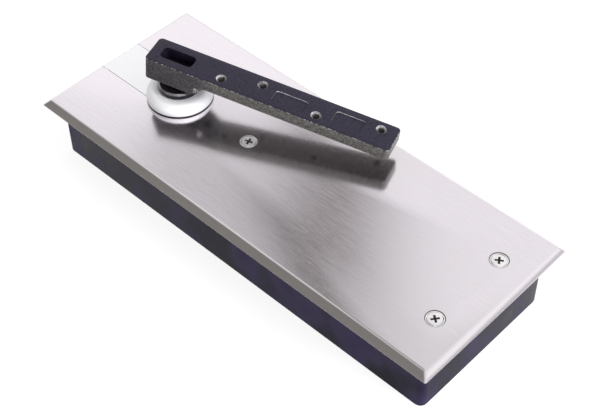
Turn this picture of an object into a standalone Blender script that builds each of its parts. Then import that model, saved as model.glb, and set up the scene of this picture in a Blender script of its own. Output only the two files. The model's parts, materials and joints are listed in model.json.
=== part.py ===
"""Floor spring: a hydraulic door closer that sits in a steel case in the floor, with its door arm on top.

Metres, +Z up. The origin is under the middle of the cover plate, on the underside of the case. +X runs
along the plate, away from the spindle, and +Y points to its far long edge.
"""

import math

import bmesh
import bpy
from mathutils import Matrix

# Gaps between neighbouring pieces
SEAT_GAP = 0.0003  # faces that rest on each other, and threads
RUN_GAP = 0.0003  # a turning or sliding piece in its seat

# Cover plate, a pressed sheet with a 45 degree rim
PLATE_LENGTH = 0.340
PLATE_WIDTH = 0.136
PLATE_SHEET = 0.0015
RIM_RISE = 0.0044  # floor level to the plate's top, and the rim's run
SLOT_WIDTH = 0.0331  # opening for the insert, from the plate's end to the spindle
SEAM_GAP = 0.0003  # between the slot's edge and the insert

# Cement case, a steel box
CASE_DEPTH = 0.043  # underside to floor level
CASE_INSET_END = 0.008  # plate edge to case face, at the two ends
CASE_INSET_SIDE = 0.010  # the same at the two long sides
CASE_WALL = 0.002
CASE_CORNER = 0.005
PAD_RADIUS = 0.007  # raised pads that carry the closer body
PAD_HEIGHT = 0.004

# Closer body, a casting with one long bore
SPINDLE_INSET = 0.066  # plate end to the spindle's axis
BODY_WIDTH = 0.060
BODY_END_GAP = 0.002  # case wall to the body, at the spindle end
BODY_FAR_SPACE = 0.032  # case wall to the body, at the other end
BODY_TOP_GAP = 0.0016  # plate's underside to the body's top
BORE_RADIUS = 0.016
BORE_FLOOR = 0.0042  # wall under the bore
EAR_LENGTH = 0.016
EAR_WIDTH = 0.016  # how far an ear stands out from the body
EAR_THICKNESS = 0.008
EAR_INSET = 0.004  # body end to the ear

# Spindle
TANG_RADIUS = 0.0104
TANG_THICKNESS = 0.0082
TANG_HEIGHT = 0.014  # above the flange
FLANGE_STEP = 0.0025  # flange beyond the neck
FLANGE_HEIGHT = 0.0043
FLANGE_CHAMFER = 0.0011
NECK_RADIUS = 0.012
UPPER_JOURNAL_RADIUS = 0.0087
THRUST_RADIUS = 0.010
LOWER_JOURNAL_RADIUS = 0.006
BUSH_WALL = 0.005
BUSH_HEIGHT = 0.003
SEAL_HEIGHT = 0.0021
SHOULDER = 0.001  # ledge under the upper bush
LOWER_POCKET_FLOOR = 0.0008
LOWER_BUSH_WALL = 0.002
CORE_STEP = 0.0005  # shaft inside the pinion, below the roots of its teeth

# Pinion and rack, 25 degree stub teeth
TOOTH_MODULE = 0.0015
PINION_TEETH = 12
PRESSURE_ANGLE = math.radians(25)
TOOTH_ADDENDUM = 0.8 * TOOTH_MODULE
PINION_DEDENDUM = 1.2 * TOOTH_MODULE
RACK_DEDENDUM = 1.07 * TOOTH_MODULE
FLANK_RELIEF = 0.0001  # taken off each flank, which is the backlash
PINION_END_GAP = 0.0005  # pinion's corners to the bore, at each end
FULL_TURN_OF_ARM = math.radians(144)

# Piston
WINDOW_END_GAP = 0.0005
PISTON_REST_GAP = 0.0008
PISTON_REAR_HEAD = 0.016
RING_WIDTH = 0.002
RING_DEPTH = 0.0011
CHECK_BALL_RADIUS = 0.0024
CHECK_PASSAGE_RADIUS = 0.0015
CHECK_POCKET = 0.010
CHECK_NUT = 0.0035

# Bore plugs, spring and its adjuster
FRONT_PLUG_LENGTH = 0.008
REAR_PLUG_LENGTH = 0.016
PLUG_RECESS = 0.0005
PLUG_SOCKET = 0.010  # across flats
PLUG_SOCKET_DEPTH = 0.0024
ADJUSTER_RADIUS = 0.004
ADJUSTER_COLLAR_RADIUS = 0.007
ADJUSTER_COLLAR = 0.003
ADJUSTER_THREAD = 0.034
ADJUSTER_HEAD = 0.005
ADJUSTER_FLATS = 0.0055
SEAT_FLANGE = 0.005
SEAT_PILOT = 0.007
SEAT_PILOT_GAP = 0.0014  # pilot to the inside of the spring
SEAT_STANDOFF = 0.007  # adjuster collar to the seat
SPRING_GAP = 0.0022  # outside of the spring to the bore
SPRING_WIRE_RADIUS = 0.0018
SPRING_PITCH = 0.0105

# Collar round the spindle, on the plate
COLLAR_RADIUS = 0.023
COLLAR_HEIGHT = 0.008
COLLAR_EDGE = 0.0055  # rounding of its outer top edge

# Door arm, which lies loose on its tang and leans down towards its far end
ARM_ANGLE = math.radians(19.3)
ARM_LEAN = math.radians(5.9)
ROCK_HEIGHT = 0.0092  # spindle flange to the axis that the arm leans about
ARM_BACK = 0.0194
ARM_REACH = 0.1563
ARM_WIDTH = 0.0232
ARM_STAND = 0.0042  # spindle flange to the hub's underside, with the arm level
HUB_THICKNESS = 0.0174
HUB_REACH = 0.016
BAR_THICKNESS = 0.0088
SLOPE_RUN = 0.0085
HUB_DRAFT = 0.0008
HUB_CHAMFER = 0.0018
ARM_CORNER = 0.003
SOCKET_LENGTH = 0.0224
SOCKET_WIDTH = 0.009
SOCKET_CORNER = 0.0025
ARM_HOLES = [(0.0339, -0.0040), (0.0606, 0.0040), (0.1025, -0.0045), (0.1447, 0.0046)]
ARM_HOLE_RADIUS = 0.0025
ARM_SINK_RADIUS = 0.0035
ARM_PADS = [(0.0707, 0.0941, -0.0068, 0.0039), (0.1130, 0.1336, -0.0056, 0.0061)]
ARM_PAD_DEPTH = 0.0005
ARM_PAD_CORNER = 0.002
SET_SCREW_RADIUS = 0.0025
SET_SCREW_LENGTH = 0.009
SET_SCREW_SOCKET = 0.0025
SET_SCREW_SOCKET_DEPTH = 0.002

# Cover screws and their bridge
SCREW_HEAD_RADIUS = 0.006
SCREW_SHANK_RADIUS = 0.003
SCREW_LENGTH = 0.007
SCREW_TIP = 0.0004
RECESS_WIDTH = 0.0013
RECESS_SPAN = 0.0064
RECESS_DEPTH = 0.0018
MID_SCREW_INSET = 0.132  # plate's spindle end to the single screw
FAR_SCREW_INSET = 0.024  # plate's other end to the pair
FAR_SCREW_SPACING = 0.0612
BRIDGE_LENGTH = 0.018
BRIDGE_SHEET = 0.0025
BRIDGE_LEG = 0.012  # case wall to the bridge's leg
BRIDGE_FOOT_GAP = 0.0015
RIVET_RADIUS = 0.002
RIVET_HEAD_RADIUS = 0.0035
RIVET_HEAD_TOP_RADIUS = 0.00245
RIVET_HEAD = 0.0015

# Small fittings
BODY_SCREW_RADIUS = 0.003
BODY_SCREW_HEAD_RADIUS = 0.005
BODY_SCREW_HEAD = 0.006
BODY_SCREW_SOCKET = 0.005  # across flats
BODY_SCREW_SOCKET_DEPTH = 0.003
PAD_HOLE_FLOOR = 0.0023
VALVE_RADIUS = 0.003
VALVE_LENGTH = 0.0052
VALVE_OFFSET = 0.012
VALVE_INSET = 0.012
FILLER_RADIUS = 0.004
FILLER_LENGTH = 0.0048
FILLER_INSET = 0.068  # body's far end to the filler plug
DRIVER_SLOT_WIDTH = 0.0008
DRIVER_SLOT_DEPTH = 0.0012
BOSS_WALL = 0.0054
MID_BOSS_RADIUS = 0.008
INSERT_BRIDGE_LENGTH = 0.008
INSERT_BRIDGE_WIDTH = 0.052
INSERT_BRIDGE_SHEET = 0.001
INSERT_BRIDGE_GAP = 0.003  # to the body's spindle boss

ROUND = 32  # sides of a large round
SMALL_ROUND = 16  # sides of a small round
SPRING_SIDES = 10  # points in one turn of the spring
FLANK_STEPS = 4  # of a pinion tooth

# Places that follow from the sizes
FLOOR_Z = CASE_DEPTH
PLATE_TOP = FLOOR_Z + RIM_RISE
PLATE_UNDER = PLATE_TOP - PLATE_SHEET
CASE_TOP = PLATE_UNDER - SEAT_GAP
CASE_END = PLATE_LENGTH / 2 - CASE_INSET_END
CASE_SIDE = PLATE_WIDTH / 2 - CASE_INSET_SIDE
CASE_INNER_END = CASE_END - CASE_WALL
CASE_INNER_SIDE = CASE_SIDE - CASE_WALL
SPINDLE_X = SPINDLE_INSET - PLATE_LENGTH / 2
BODY_LOW = CASE_WALL + SEAT_GAP
BODY_TOP = PLATE_UNDER - BODY_TOP_GAP
BODY_START = BODY_END_GAP - CASE_INNER_END
BODY_FINISH = CASE_INNER_END - BODY_FAR_SPACE
BORE_Z = BODY_LOW + BORE_FLOOR + BORE_RADIUS
FLANGE_RADIUS = NECK_RADIUS + FLANGE_STEP
PITCH_RADIUS = TOOTH_MODULE * PINION_TEETH / 2
TIP_RADIUS = PITCH_RADIUS + TOOTH_ADDENDUM
PINION_HALF_FACE = math.sqrt(BORE_RADIUS**2 - TIP_RADIUS**2) - PINION_END_GAP
PISTON_TRAVEL = PITCH_RADIUS * FULL_TURN_OF_ARM
PISTON_RADIUS = BORE_RADIUS - RUN_GAP
PISTON_START = BODY_START + PLUG_RECESS + FRONT_PLUG_LENGTH + PISTON_REST_GAP
WINDOW_START = SPINDLE_X - TIP_RADIUS - WINDOW_END_GAP - PISTON_TRAVEL
WINDOW_FINISH = SPINDLE_X + TIP_RADIUS + WINDOW_END_GAP
PISTON_FINISH = WINDOW_FINISH + PISTON_REAR_HEAD
REAR_PLUG_START = BODY_FINISH - PLUG_RECESS - REAR_PLUG_LENGTH
COLLAR_START = REAR_PLUG_START - SEAT_GAP - ADJUSTER_COLLAR
SEAT_FINISH = COLLAR_START - SEAT_STANDOFF
SEAT_START = SEAT_FINISH - SEAT_FLANGE
SPRING_COIL_RADIUS = BORE_RADIUS - SPRING_GAP - SPRING_WIRE_RADIUS
SEAT_PILOT_RADIUS = SPRING_COIL_RADIUS - SPRING_WIRE_RADIUS - SEAT_PILOT_GAP
LEDGE_Z = BORE_Z + BORE_RADIUS + SHOULDER
BUSH_Z = LEDGE_Z + SEAT_GAP
SEAL_Z = BUSH_Z + BUSH_HEIGHT + SEAT_GAP
BUSH_BORE = UPPER_JOURNAL_RADIUS + RUN_GAP
BUSH_RADIUS = BUSH_BORE + BUSH_WALL
BOSS_TOP = PLATE_UNDER - SEAT_GAP
SPINDLE_BOSS_RADIUS = BUSH_RADIUS + SEAT_GAP + BOSS_WALL
RING_TOP = PLATE_TOP + SEAT_GAP + COLLAR_HEIGHT
FLANGE_Z = RING_TOP + RUN_GAP
FLANGE_TOP = FLANGE_Z + FLANGE_HEIGHT
HUB_LOW = FLANGE_TOP + ARM_STAND
ARM_TOP = HUB_LOW + HUB_THICKNESS
BAR_LOW = ARM_TOP - BAR_THICKNESS
ROCK_Z = FLANGE_TOP + ROCK_HEIGHT
EAR_LOW = CASE_WALL + PAD_HEIGHT + SEAT_GAP
EAR_TOP = EAR_LOW + EAR_THICKNESS
EAR_SIDE = BODY_WIDTH / 2 + EAR_WIDTH / 2
EAR_XS = [BODY_START + EAR_INSET + EAR_LENGTH / 2, BODY_FINISH - EAR_INSET - EAR_LENGTH / 2]
MID_SCREW = (MID_SCREW_INSET - PLATE_LENGTH / 2, 0.0)
FAR_SCREW_X = PLATE_LENGTH / 2 - FAR_SCREW_INSET
VALVE_X = BODY_START + VALVE_INSET
FILLER_X = BODY_FINISH - FILLER_INSET
BRIDGE_SIDE = CASE_INNER_SIDE - BRIDGE_LEG
RIVET_SIDE = (CASE_INNER_SIDE - BRIDGE_FOOT_GAP + BRIDGE_SIDE) / 2


# Materials

def material(name, colour, metallic, roughness):
    """A Principled material of one finish."""
    made = bpy.data.materials.new(name)
    made.use_nodes = True
    shader = made.node_tree.nodes["Principled BSDF"]
    shader.inputs["Base Color"].default_value = (*colour, 1.0)
    shader.inputs["Metallic"].default_value = metallic
    shader.inputs["Roughness"].default_value = roughness
    return made


def finishes():
    """The finishes of the whole closer, by name."""
    return {
        "stainless": material("brushed_stainless", (0.66, 0.64, 0.63), 1.0, 0.32),
        "insert": material("insert_stainless", (0.76, 0.77, 0.80), 1.0, 0.28),
        "nickel": material("polished_nickel", (0.82, 0.82, 0.82), 1.0, 0.12),
        "case": material("case_paint", (0.022, 0.022, 0.050), 0.0, 0.38),
        "arm": material("black_casting", (0.045, 0.043, 0.052), 0.3, 0.50),
        "spindle": material("black_steel", (0.012, 0.011, 0.016), 0.6, 0.35),
        "zinc": material("zinc_plate", (0.62, 0.61, 0.58), 1.0, 0.30),
        "casting": material("body_casting", (0.24, 0.25, 0.26), 0.5, 0.60),
        "steel": material("machined_steel", (0.50, 0.50, 0.51), 1.0, 0.30),
        "bronze": material("bronze", (0.55, 0.38, 0.20), 1.0, 0.35),
        "spring": material("spring_steel", (0.16, 0.16, 0.18), 0.9, 0.38),
        "rubber": material("seal_rubber", (0.015, 0.015, 0.015), 0.0, 0.65),
        "brass": material("brass", (0.62, 0.47, 0.20), 1.0, 0.30),
    }


# Mesh helpers

def finish_mesh(bm, name, look, smooth=True):
    """Closes a bmesh into a named object at the world's origin."""
    bmesh.ops.remove_doubles(bm, verts=bm.verts, dist=1e-6)
    bmesh.ops.recalc_face_normals(bm, faces=bm.faces)
    mesh = bpy.data.meshes.new(name)
    bm.to_mesh(mesh)
    bm.free()
    if smooth:
        mesh.shade_smooth()
        mesh.set_sharp_from_angle(angle=math.radians(35))
    made = bpy.data.objects.new(name, mesh)
    bpy.context.scene.collection.objects.link(made)
    if look:
        mesh.materials.append(look)
    return made


def turned(name, profile, look=None, sides=ROUND, along_x=False):
    """A round solid from (radius, height) points, which are closed through the axis or back to the start."""
    bm = bmesh.new()
    points = [bm.verts.new((radius, 0, height)) for radius, height in profile]
    edges = [bm.edges.new(pair) for pair in zip(points, points[1:])]
    if profile[0][0] > 0:
        edges.append(bm.edges.new((points[-1], points[0])))
    bmesh.ops.spin(
        bm, geom=points + edges, cent=(0, 0, 0), axis=(0, 0, 1), angle=math.tau, steps=sides, use_merge=True
    )
    if along_x:
        bmesh.ops.rotate(bm, verts=bm.verts, matrix=Matrix.Rotation(math.pi / 2, 3, "Y"))
    return finish_mesh(bm, name, look)


def rod(name, radius, low, high, look=None, sides=SMALL_ROUND, along_x=False):
    """A plain cylinder between two heights."""
    return turned(name, [(0, low), (radius, low), (radius, high), (0, high)], look, sides, along_x)


def prism(name, outline, low, high, look=None, smooth=True):
    """A plan outline, given as (x, y) points, raised from low to high."""
    bm = bmesh.new()
    base = bm.faces.new([bm.verts.new((x, y, low)) for x, y in outline])
    raised = bmesh.ops.extrude_face_region(bm, geom=[base])["geom"]
    lifted = [item for item in raised if isinstance(item, bmesh.types.BMVert)]
    bmesh.ops.translate(bm, verts=lifted, vec=(0, 0, high - low))
    return finish_mesh(bm, name, look, smooth)


def side_prism(name, outline, half_width, look=None):
    """A side outline, given as (x, z) points, made wide in Y."""
    made = prism(name, [(x, -z) for x, z in outline], -half_width, half_width, look)
    made.data.transform(Matrix.Rotation(-math.pi / 2, 4, "X"))
    return made


def box(name, low, high, look=None):
    """A block between two corners."""
    corners = [(low[0], low[1]), (high[0], low[1]), (high[0], high[1]), (low[0], high[1])]
    return prism(name, corners, low[2], high[2], look, smooth=False)


def arc(centre, radius, start, turn, steps):
    """Points along an arc, both ends included."""
    angles = [start + turn * step / steps for step in range(steps + 1)]
    return [(centre[0] + radius * math.cos(a), centre[1] + radius * math.sin(a)) for a in angles]


def rounded_rectangle(low, high, radius, steps=4):
    """Plan outline of a rectangle with round corners."""
    quarter = math.pi / 2
    centres = [
        (high[0] - radius, low[1] + radius),
        (high[0] - radius, high[1] - radius),
        (low[0] + radius, high[1] - radius),
        (low[0] + radius, low[1] + radius),
    ]
    points = []
    for turn, centre in enumerate(centres):
        points += arc(centre, radius, quarter * (turn - 1), quarter, steps)
    return points


def combine(target, tool, operation, solver="EXACT"):
    """A live Boolean with a hidden tool."""
    tool.hide_render = True
    tool.display_type = "WIRE"
    step = target.modifiers.new(operation.title(), "BOOLEAN")
    step.operation = operation
    step.object = tool
    step.solver = solver
    return target


def cut(target, *tools, solver="EXACT"):
    for tool in tools:
        combine(target, tool, "DIFFERENCE", solver)
    return target


def add(target, *tools, solver="EXACT"):
    for tool in tools:
        combine(target, tool, "UNION", solver)
    return target


def at(made, x=0.0, y=0.0, z=0.0, turn=0.0):
    """Places an object."""
    made.location = (x, y, z)
    made.rotation_euler = (0, 0, turn)
    return made


def hang(parent, *children):
    """Parents pieces to an empty on their joint's axis, where they stand."""
    bpy.context.view_layer.update()
    for child in children:
        child.parent = parent
        child.matrix_parent_inverse = parent.matrix_world.inverted()


def pivot(name, place):
    """An empty on a joint's axis."""
    made = bpy.data.objects.new(name, None)
    made.empty_display_size = 0.02
    made.location = place
    bpy.context.scene.collection.objects.link(made)
    return made


# Cover

def rim_shell(name, look=None):
    """The pressed sheet: a flat top with a 45 degree rim down to the floor."""
    bm = bmesh.new()
    sheet_run = PLATE_SHEET * math.tan(math.radians(22.5))
    levels = [
        (0.0, FLOOR_Z),
        (RIM_RISE, PLATE_TOP),
        (RIM_RISE + sheet_run, PLATE_UNDER),
        (PLATE_SHEET * math.sqrt(2), FLOOR_Z),
    ]
    rings = []
    for inset, height in levels:
        half_x = PLATE_LENGTH / 2 - inset
        half_y = PLATE_WIDTH / 2 - inset
        corners = [(-half_x, -half_y), (half_x, -half_y), (half_x, half_y), (-half_x, half_y)]
        rings.append([bm.verts.new((x, y, height)) for x, y in corners])
    outer_low, outer_top, inner_top, inner_low = rings
    bm.faces.new(outer_top)
    bm.faces.new(inner_top)
    for first, second in ((outer_low, outer_top), (inner_top, inner_low), (inner_low, outer_low)):
        for side in range(4):
            other = (side + 1) % 4
            bm.faces.new((first[side], first[other], second[other], second[side]))
    return finish_mesh(bm, name, look, smooth=False)


def slot_tool(name, half_width):
    """The slot from the plate's end to the spindle, with a round inner end about the spindle."""
    past_edge = -PLATE_LENGTH / 2 - CASE_INSET_END
    outline = [(past_edge, half_width), (past_edge, -half_width)]
    outline += arc((SPINDLE_X, 0), half_width, -math.pi / 2, math.pi, ROUND // 2)
    return prism(name, outline, FLOOR_Z - CASE_WALL, PLATE_TOP + CASE_WALL)


def screw_sink(name, place, depth):
    """The seat and hole of a countersunk screw, from the plate down."""
    head = SCREW_HEAD_RADIUS + SEAT_GAP
    shank = SCREW_SHANK_RADIUS + SEAT_GAP
    above = PLATE_SHEET
    profile = [
        (0, PLATE_TOP - depth),
        (shank, PLATE_TOP - depth),
        (shank, PLATE_TOP - head + shank),
        (head + above, PLATE_TOP + above),
        (0, PLATE_TOP + above),
    ]
    return at(turned(name, profile, sides=SMALL_ROUND), *place)


def cross_outline(width, span):
    """Plan outline of a cross-shaped driver recess."""
    near = width / 2
    far = span / 2
    quarter = [(far, -near), (far, near), (near, near)]
    outline = []
    for _ in range(4):
        outline += quarter
        quarter = [(-y, x) for x, y in quarter]
    return outline


def cover_screw(name, place, looks):
    """A countersunk machine screw with a cross recess."""
    top = PLATE_TOP - SEAT_GAP / 2
    profile = [
        (0, PLATE_TOP - SCREW_LENGTH),
        (SCREW_SHANK_RADIUS - SCREW_TIP, PLATE_TOP - SCREW_LENGTH),
        (SCREW_SHANK_RADIUS, PLATE_TOP - SCREW_LENGTH + SCREW_TIP),
        (SCREW_SHANK_RADIUS, top - SCREW_HEAD_RADIUS + SCREW_SHANK_RADIUS),
        (SCREW_HEAD_RADIUS, top),
        (0, top),
    ]
    screw = at(turned(name, profile, looks["zinc"], SMALL_ROUND), *place)
    cross = cross_outline(RECESS_WIDTH, RECESS_SPAN)
    recess = prism(name + "_recess", cross, top - RECESS_DEPTH, top + RECESS_DEPTH, smooth=False)
    return cut(screw, at(recess, *place))


def cover(looks):
    """Cover plate, the insert in its slot, the strip under the insert, and the three screws."""
    screws = {
        "cover_screw_mid": MID_SCREW,
        "cover_screw_far_near": (FAR_SCREW_X, -FAR_SCREW_SPACING / 2),
        "cover_screw_far_back": (FAR_SCREW_X, FAR_SCREW_SPACING / 2),
    }
    plate = cut(rim_shell("cover_plate", looks["stainless"]), slot_tool("plate_slot", SLOT_WIDTH / 2))
    for name, place in screws.items():
        cut(plate, screw_sink(name + "_sink", place, SCREW_LENGTH))
        cover_screw(name, place, looks)
    insert = rim_shell("insert_plate", looks["insert"])
    combine(insert, slot_tool("insert_outline", SLOT_WIDTH / 2 - SEAM_GAP), "INTERSECT")
    hole = rod("insert_hole", NECK_RADIUS + 2 * RUN_GAP, FLOOR_Z, PLATE_TOP + CASE_WALL, sides=ROUND)
    cut(insert, at(hole, SPINDLE_X))
    strip_end = SPINDLE_X - SPINDLE_BOSS_RADIUS - INSERT_BRIDGE_GAP
    strip_top = PLATE_UNDER - SEAT_GAP
    low = (strip_end - INSERT_BRIDGE_LENGTH, -INSERT_BRIDGE_WIDTH / 2, strip_top - INSERT_BRIDGE_SHEET)
    box("insert_bridge", low, (strip_end, INSERT_BRIDGE_WIDTH / 2, strip_top), looks["steel"])


def collar(looks):
    """The domed ring on the plate, round the spindle."""
    low = PLATE_TOP + SEAT_GAP
    inner = NECK_RADIUS + 2 * RUN_GAP
    edge = arc((COLLAR_RADIUS - COLLAR_EDGE, RING_TOP - COLLAR_EDGE), COLLAR_EDGE, 0, math.pi / 2, 6)
    profile = [(inner, low), (COLLAR_RADIUS, low), *edge, (inner, RING_TOP)]
    at(turned("collar_ring", profile, looks["nickel"]), SPINDLE_X)


# Case

def case(looks):
    """The steel box that is set in the floor, with pads for the closer body."""
    outer = rounded_rectangle((-CASE_END, -CASE_SIDE), (CASE_END, CASE_SIDE), CASE_CORNER)
    inner = rounded_rectangle(
        (-CASE_INNER_END, -CASE_INNER_SIDE), (CASE_INNER_END, CASE_INNER_SIDE), CASE_CORNER - CASE_WALL
    )
    shell = prism("cement_case", outer, 0, CASE_TOP, looks["case"])
    cut(shell, prism("case_hollow", inner, CASE_WALL, CASE_TOP + CASE_WALL))
    hole_radius = BODY_SCREW_RADIUS + SEAT_GAP
    pad_top = CASE_WALL + PAD_HEIGHT
    pad_profile = [
        (0, CASE_WALL / 2),
        (PAD_RADIUS, CASE_WALL / 2),
        (PAD_RADIUS, pad_top),
        (hole_radius, pad_top),
        (hole_radius, PAD_HOLE_FLOOR),
        (0, PAD_HOLE_FLOOR),
    ]
    for index, (x, y) in enumerate(ear_places()):
        add(shell, at(turned(f"case_pad_{index}", pad_profile, sides=SMALL_ROUND), x, y))
    for side in (-1, 1):
        name = f"case_rivet_hole_{side}"
        hole = rod(name, RIVET_RADIUS + SEAT_GAP, CASE_WALL / 4, CASE_WALL * 2)
        cut(shell, at(hole, FAR_SCREW_X, side * RIVET_SIDE))


def screw_bridge(looks):
    """The hat-shaped bracket that the two far cover screws go into, riveted to the case."""
    top = PLATE_UNDER - SEAT_GAP
    low = CASE_WALL + SEAT_GAP
    foot = CASE_INNER_SIDE - BRIDGE_FOOT_GAP
    leg_out = BRIDGE_SIDE
    leg_in = BRIDGE_SIDE - BRIDGE_SHEET
    half = [
        (foot, low),
        (foot, low + BRIDGE_SHEET),
        (leg_out, low + BRIDGE_SHEET),
        (leg_out, top),
    ]
    inside = [(leg_in, top - BRIDGE_SHEET), (leg_in, low)]
    outline = [*half, *[(-y, z) for y, z in reversed(half)]]
    outline += [(-y, z) for y, z in reversed(inside)]
    outline += inside
    bracket = side_prism("screw_bridge", outline, BRIDGE_LENGTH / 2, looks["steel"])
    bracket.data.transform(Matrix.Rotation(math.pi / 2, 4, "Z"))
    at(bracket, FAR_SCREW_X)
    for side in (-1, 1):
        place = (FAR_SCREW_X, side * FAR_SCREW_SPACING / 2)
        cut(bracket, screw_sink(f"bridge_sink_{side}", place, SCREW_LENGTH + BRIDGE_SHEET))
        rivet_place = (FAR_SCREW_X, side * RIVET_SIDE)
        hole = rod(f"bridge_rivet_hole_{side}", RIVET_RADIUS + SEAT_GAP, 0, low + 2 * BRIDGE_SHEET)
        cut(bracket, at(hole, *rivet_place))
        head_low = low + BRIDGE_SHEET + SEAT_GAP
        profile = [
            (0, CASE_WALL / 4 + SEAT_GAP),
            (RIVET_RADIUS, CASE_WALL / 4 + SEAT_GAP),
            (RIVET_RADIUS, head_low),
            (RIVET_HEAD_RADIUS, head_low),
            (RIVET_HEAD_TOP_RADIUS, head_low + RIVET_HEAD),
            (0, head_low + RIVET_HEAD),
        ]
        name = "bridge_rivet_near" if side < 0 else "bridge_rivet_back"
        at(turned(name, profile, looks["zinc"], SMALL_ROUND), *rivet_place)


# Closer body and what is fixed in it

def ear_places():
    """Where the four body screws stand."""
    return [(x, side * EAR_SIDE) for x in EAR_XS for side in (-1, 1)]


def closer_body(looks):
    """The casting: one bore along X, the spindle's stepped hole, ears, and holes for the fittings."""
    half = BODY_WIDTH / 2
    outline = rounded_rectangle((BODY_START, -half), (BODY_FINISH, half), CASE_CORNER, 2)
    body = prism("closer_body", outline, BODY_LOW, BODY_TOP, looks["casting"])
    boss_low = BODY_TOP - BODY_TOP_GAP
    bosses = [
        at(rod("spindle_boss", SPINDLE_BOSS_RADIUS, boss_low, BOSS_TOP, sides=ROUND), SPINDLE_X),
        at(rod("screw_boss", MID_BOSS_RADIUS, boss_low, BOSS_TOP), *MID_SCREW),
    ]
    past_ends = BODY_FINISH - BODY_START
    bore = rod("body_bore", BORE_RADIUS, -past_ends, past_ends, sides=ROUND, along_x=True)
    seat = rod("bush_seat", BUSH_RADIUS + SEAT_GAP, LEDGE_Z, PLATE_TOP, sides=ROUND)
    entry = rod("pinion_entry", TIP_RADIUS + 2 * RUN_GAP, BORE_Z, PLATE_TOP, sides=ROUND)
    pocket_radius = LOWER_JOURNAL_RADIUS + RUN_GAP + LOWER_BUSH_WALL + SEAT_GAP
    pocket = rod("lower_pocket", pocket_radius, BODY_LOW + LOWER_POCKET_FLOOR, BORE_Z, sides=ROUND)
    filler = rod("filler_hole", FILLER_RADIUS + SEAT_GAP, BORE_Z, PLATE_TOP)
    holes = [at(bore, z=BORE_Z), at(seat, SPINDLE_X), at(entry, SPINDLE_X), at(pocket, SPINDLE_X)]
    holes += [at(filler, FILLER_X), screw_sink("body_sink", MID_SCREW, SCREW_LENGTH + SEAT_GAP)]
    valve_low = BODY_TOP - VALVE_LENGTH - 2 * SEAT_GAP
    for side in (-1, 1):
        hole = rod(f"valve_hole_{side}", VALVE_RADIUS + SEAT_GAP, valve_low, PLATE_TOP)
        holes.append(at(hole, VALVE_X, side * VALVE_OFFSET))
    inside = half - EAR_WIDTH / 4
    for index, (x, y) in enumerate(ear_places()):
        near, far = sorted((math.copysign(inside, y), math.copysign(half + EAR_WIDTH, y)))
        low = (x - EAR_LENGTH / 2, near, EAR_LOW)
        bosses.append(box(f"body_ear_{index}", low, (x + EAR_LENGTH / 2, far, EAR_TOP)))
        hole = rod(f"body_ear_hole_{index}", BODY_SCREW_RADIUS + SEAT_GAP, 0, 2 * EAR_TOP)
        holes.append(at(hole, x, y))
    # The exact solver leaves open edges where the round holes meet
    cut(add(body, *bosses, solver="MANIFOLD"), *holes, solver="MANIFOLD")


def hex_outline(across_flats):
    """Plan outline of a hexagon."""
    corner = across_flats / math.sqrt(3)
    return [(corner * math.cos(a), corner * math.sin(a)) for a in (math.radians(60 * k) for k in range(6))]


def bore_plug(name, start, length, hole_radius, looks, seal_name):
    """A round plug in the bore, with a groove and its seal ring."""
    radius = BORE_RADIUS - SEAT_GAP
    groove_low = start + length / 2 - RING_WIDTH / 2 - SEAT_GAP
    groove_high = start + length / 2 + RING_WIDTH / 2 + SEAT_GAP
    floor = radius - RING_DEPTH - SEAT_GAP
    profile = [
        (hole_radius, start),
        (radius, start),
        (radius, groove_low),
        (floor, groove_low),
        (floor, groove_high),
        (radius, groove_high),
        (radius, start + length),
        (hole_radius, start + length),
    ]
    plug = at(turned(name, profile, looks["steel"], along_x=True), z=BORE_Z)
    ring(seal_name, groove_low + SEAT_GAP, radius, looks["rubber"])
    return plug


def ring(name, low, radius, look):
    """A square seal ring round the X axis, at the bore's height."""
    inner = radius - RING_DEPTH
    profile = [(inner, low), (radius, low), (radius, low + RING_WIDTH), (inner, low + RING_WIDTH)]
    return at(turned(name, profile, look, along_x=True), z=BORE_Z)


def plugs(looks):
    """Both ends of the bore."""
    start = BODY_START + PLUG_RECESS
    front = bore_plug("front_plug", start, FRONT_PLUG_LENGTH, 0.0, looks, "front_plug_seal")
    socket = prism("front_plug_socket", hex_outline(PLUG_SOCKET), -PLUG_SOCKET_DEPTH, PLUG_SOCKET_DEPTH)
    socket.data.transform(Matrix.Rotation(math.pi / 2, 4, "Y"))
    cut(front, at(socket, start, 0, BORE_Z))
    hole = ADJUSTER_RADIUS + RUN_GAP
    bore_plug("rear_plug", REAR_PLUG_START, REAR_PLUG_LENGTH, hole, looks, "rear_plug_seal")


def spindle_fittings(looks):
    """Upper bush and seal, and the lower bush."""
    outer = BUSH_RADIUS
    high = BUSH_Z + BUSH_HEIGHT
    bush = [(BUSH_BORE, BUSH_Z), (outer, BUSH_Z), (outer, high), (BUSH_BORE, high)]
    at(turned("upper_bush", bush, looks["bronze"]), SPINDLE_X)
    top = SEAL_Z + SEAL_HEIGHT
    seal = [(BUSH_BORE, SEAL_Z), (outer, SEAL_Z), (outer, top), (BUSH_BORE, top)]
    at(turned("spindle_seal", seal, looks["rubber"]), SPINDLE_X)
    low = BODY_LOW + LOWER_POCKET_FLOOR + SEAT_GAP
    top = BORE_Z - BORE_RADIUS
    inner = LOWER_JOURNAL_RADIUS + RUN_GAP
    outer = inner + LOWER_BUSH_WALL
    lower = [(inner, low), (outer, low), (outer, top), (inner, top)]
    at(turned("lower_bush", lower, looks["bronze"]), SPINDLE_X)


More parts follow.
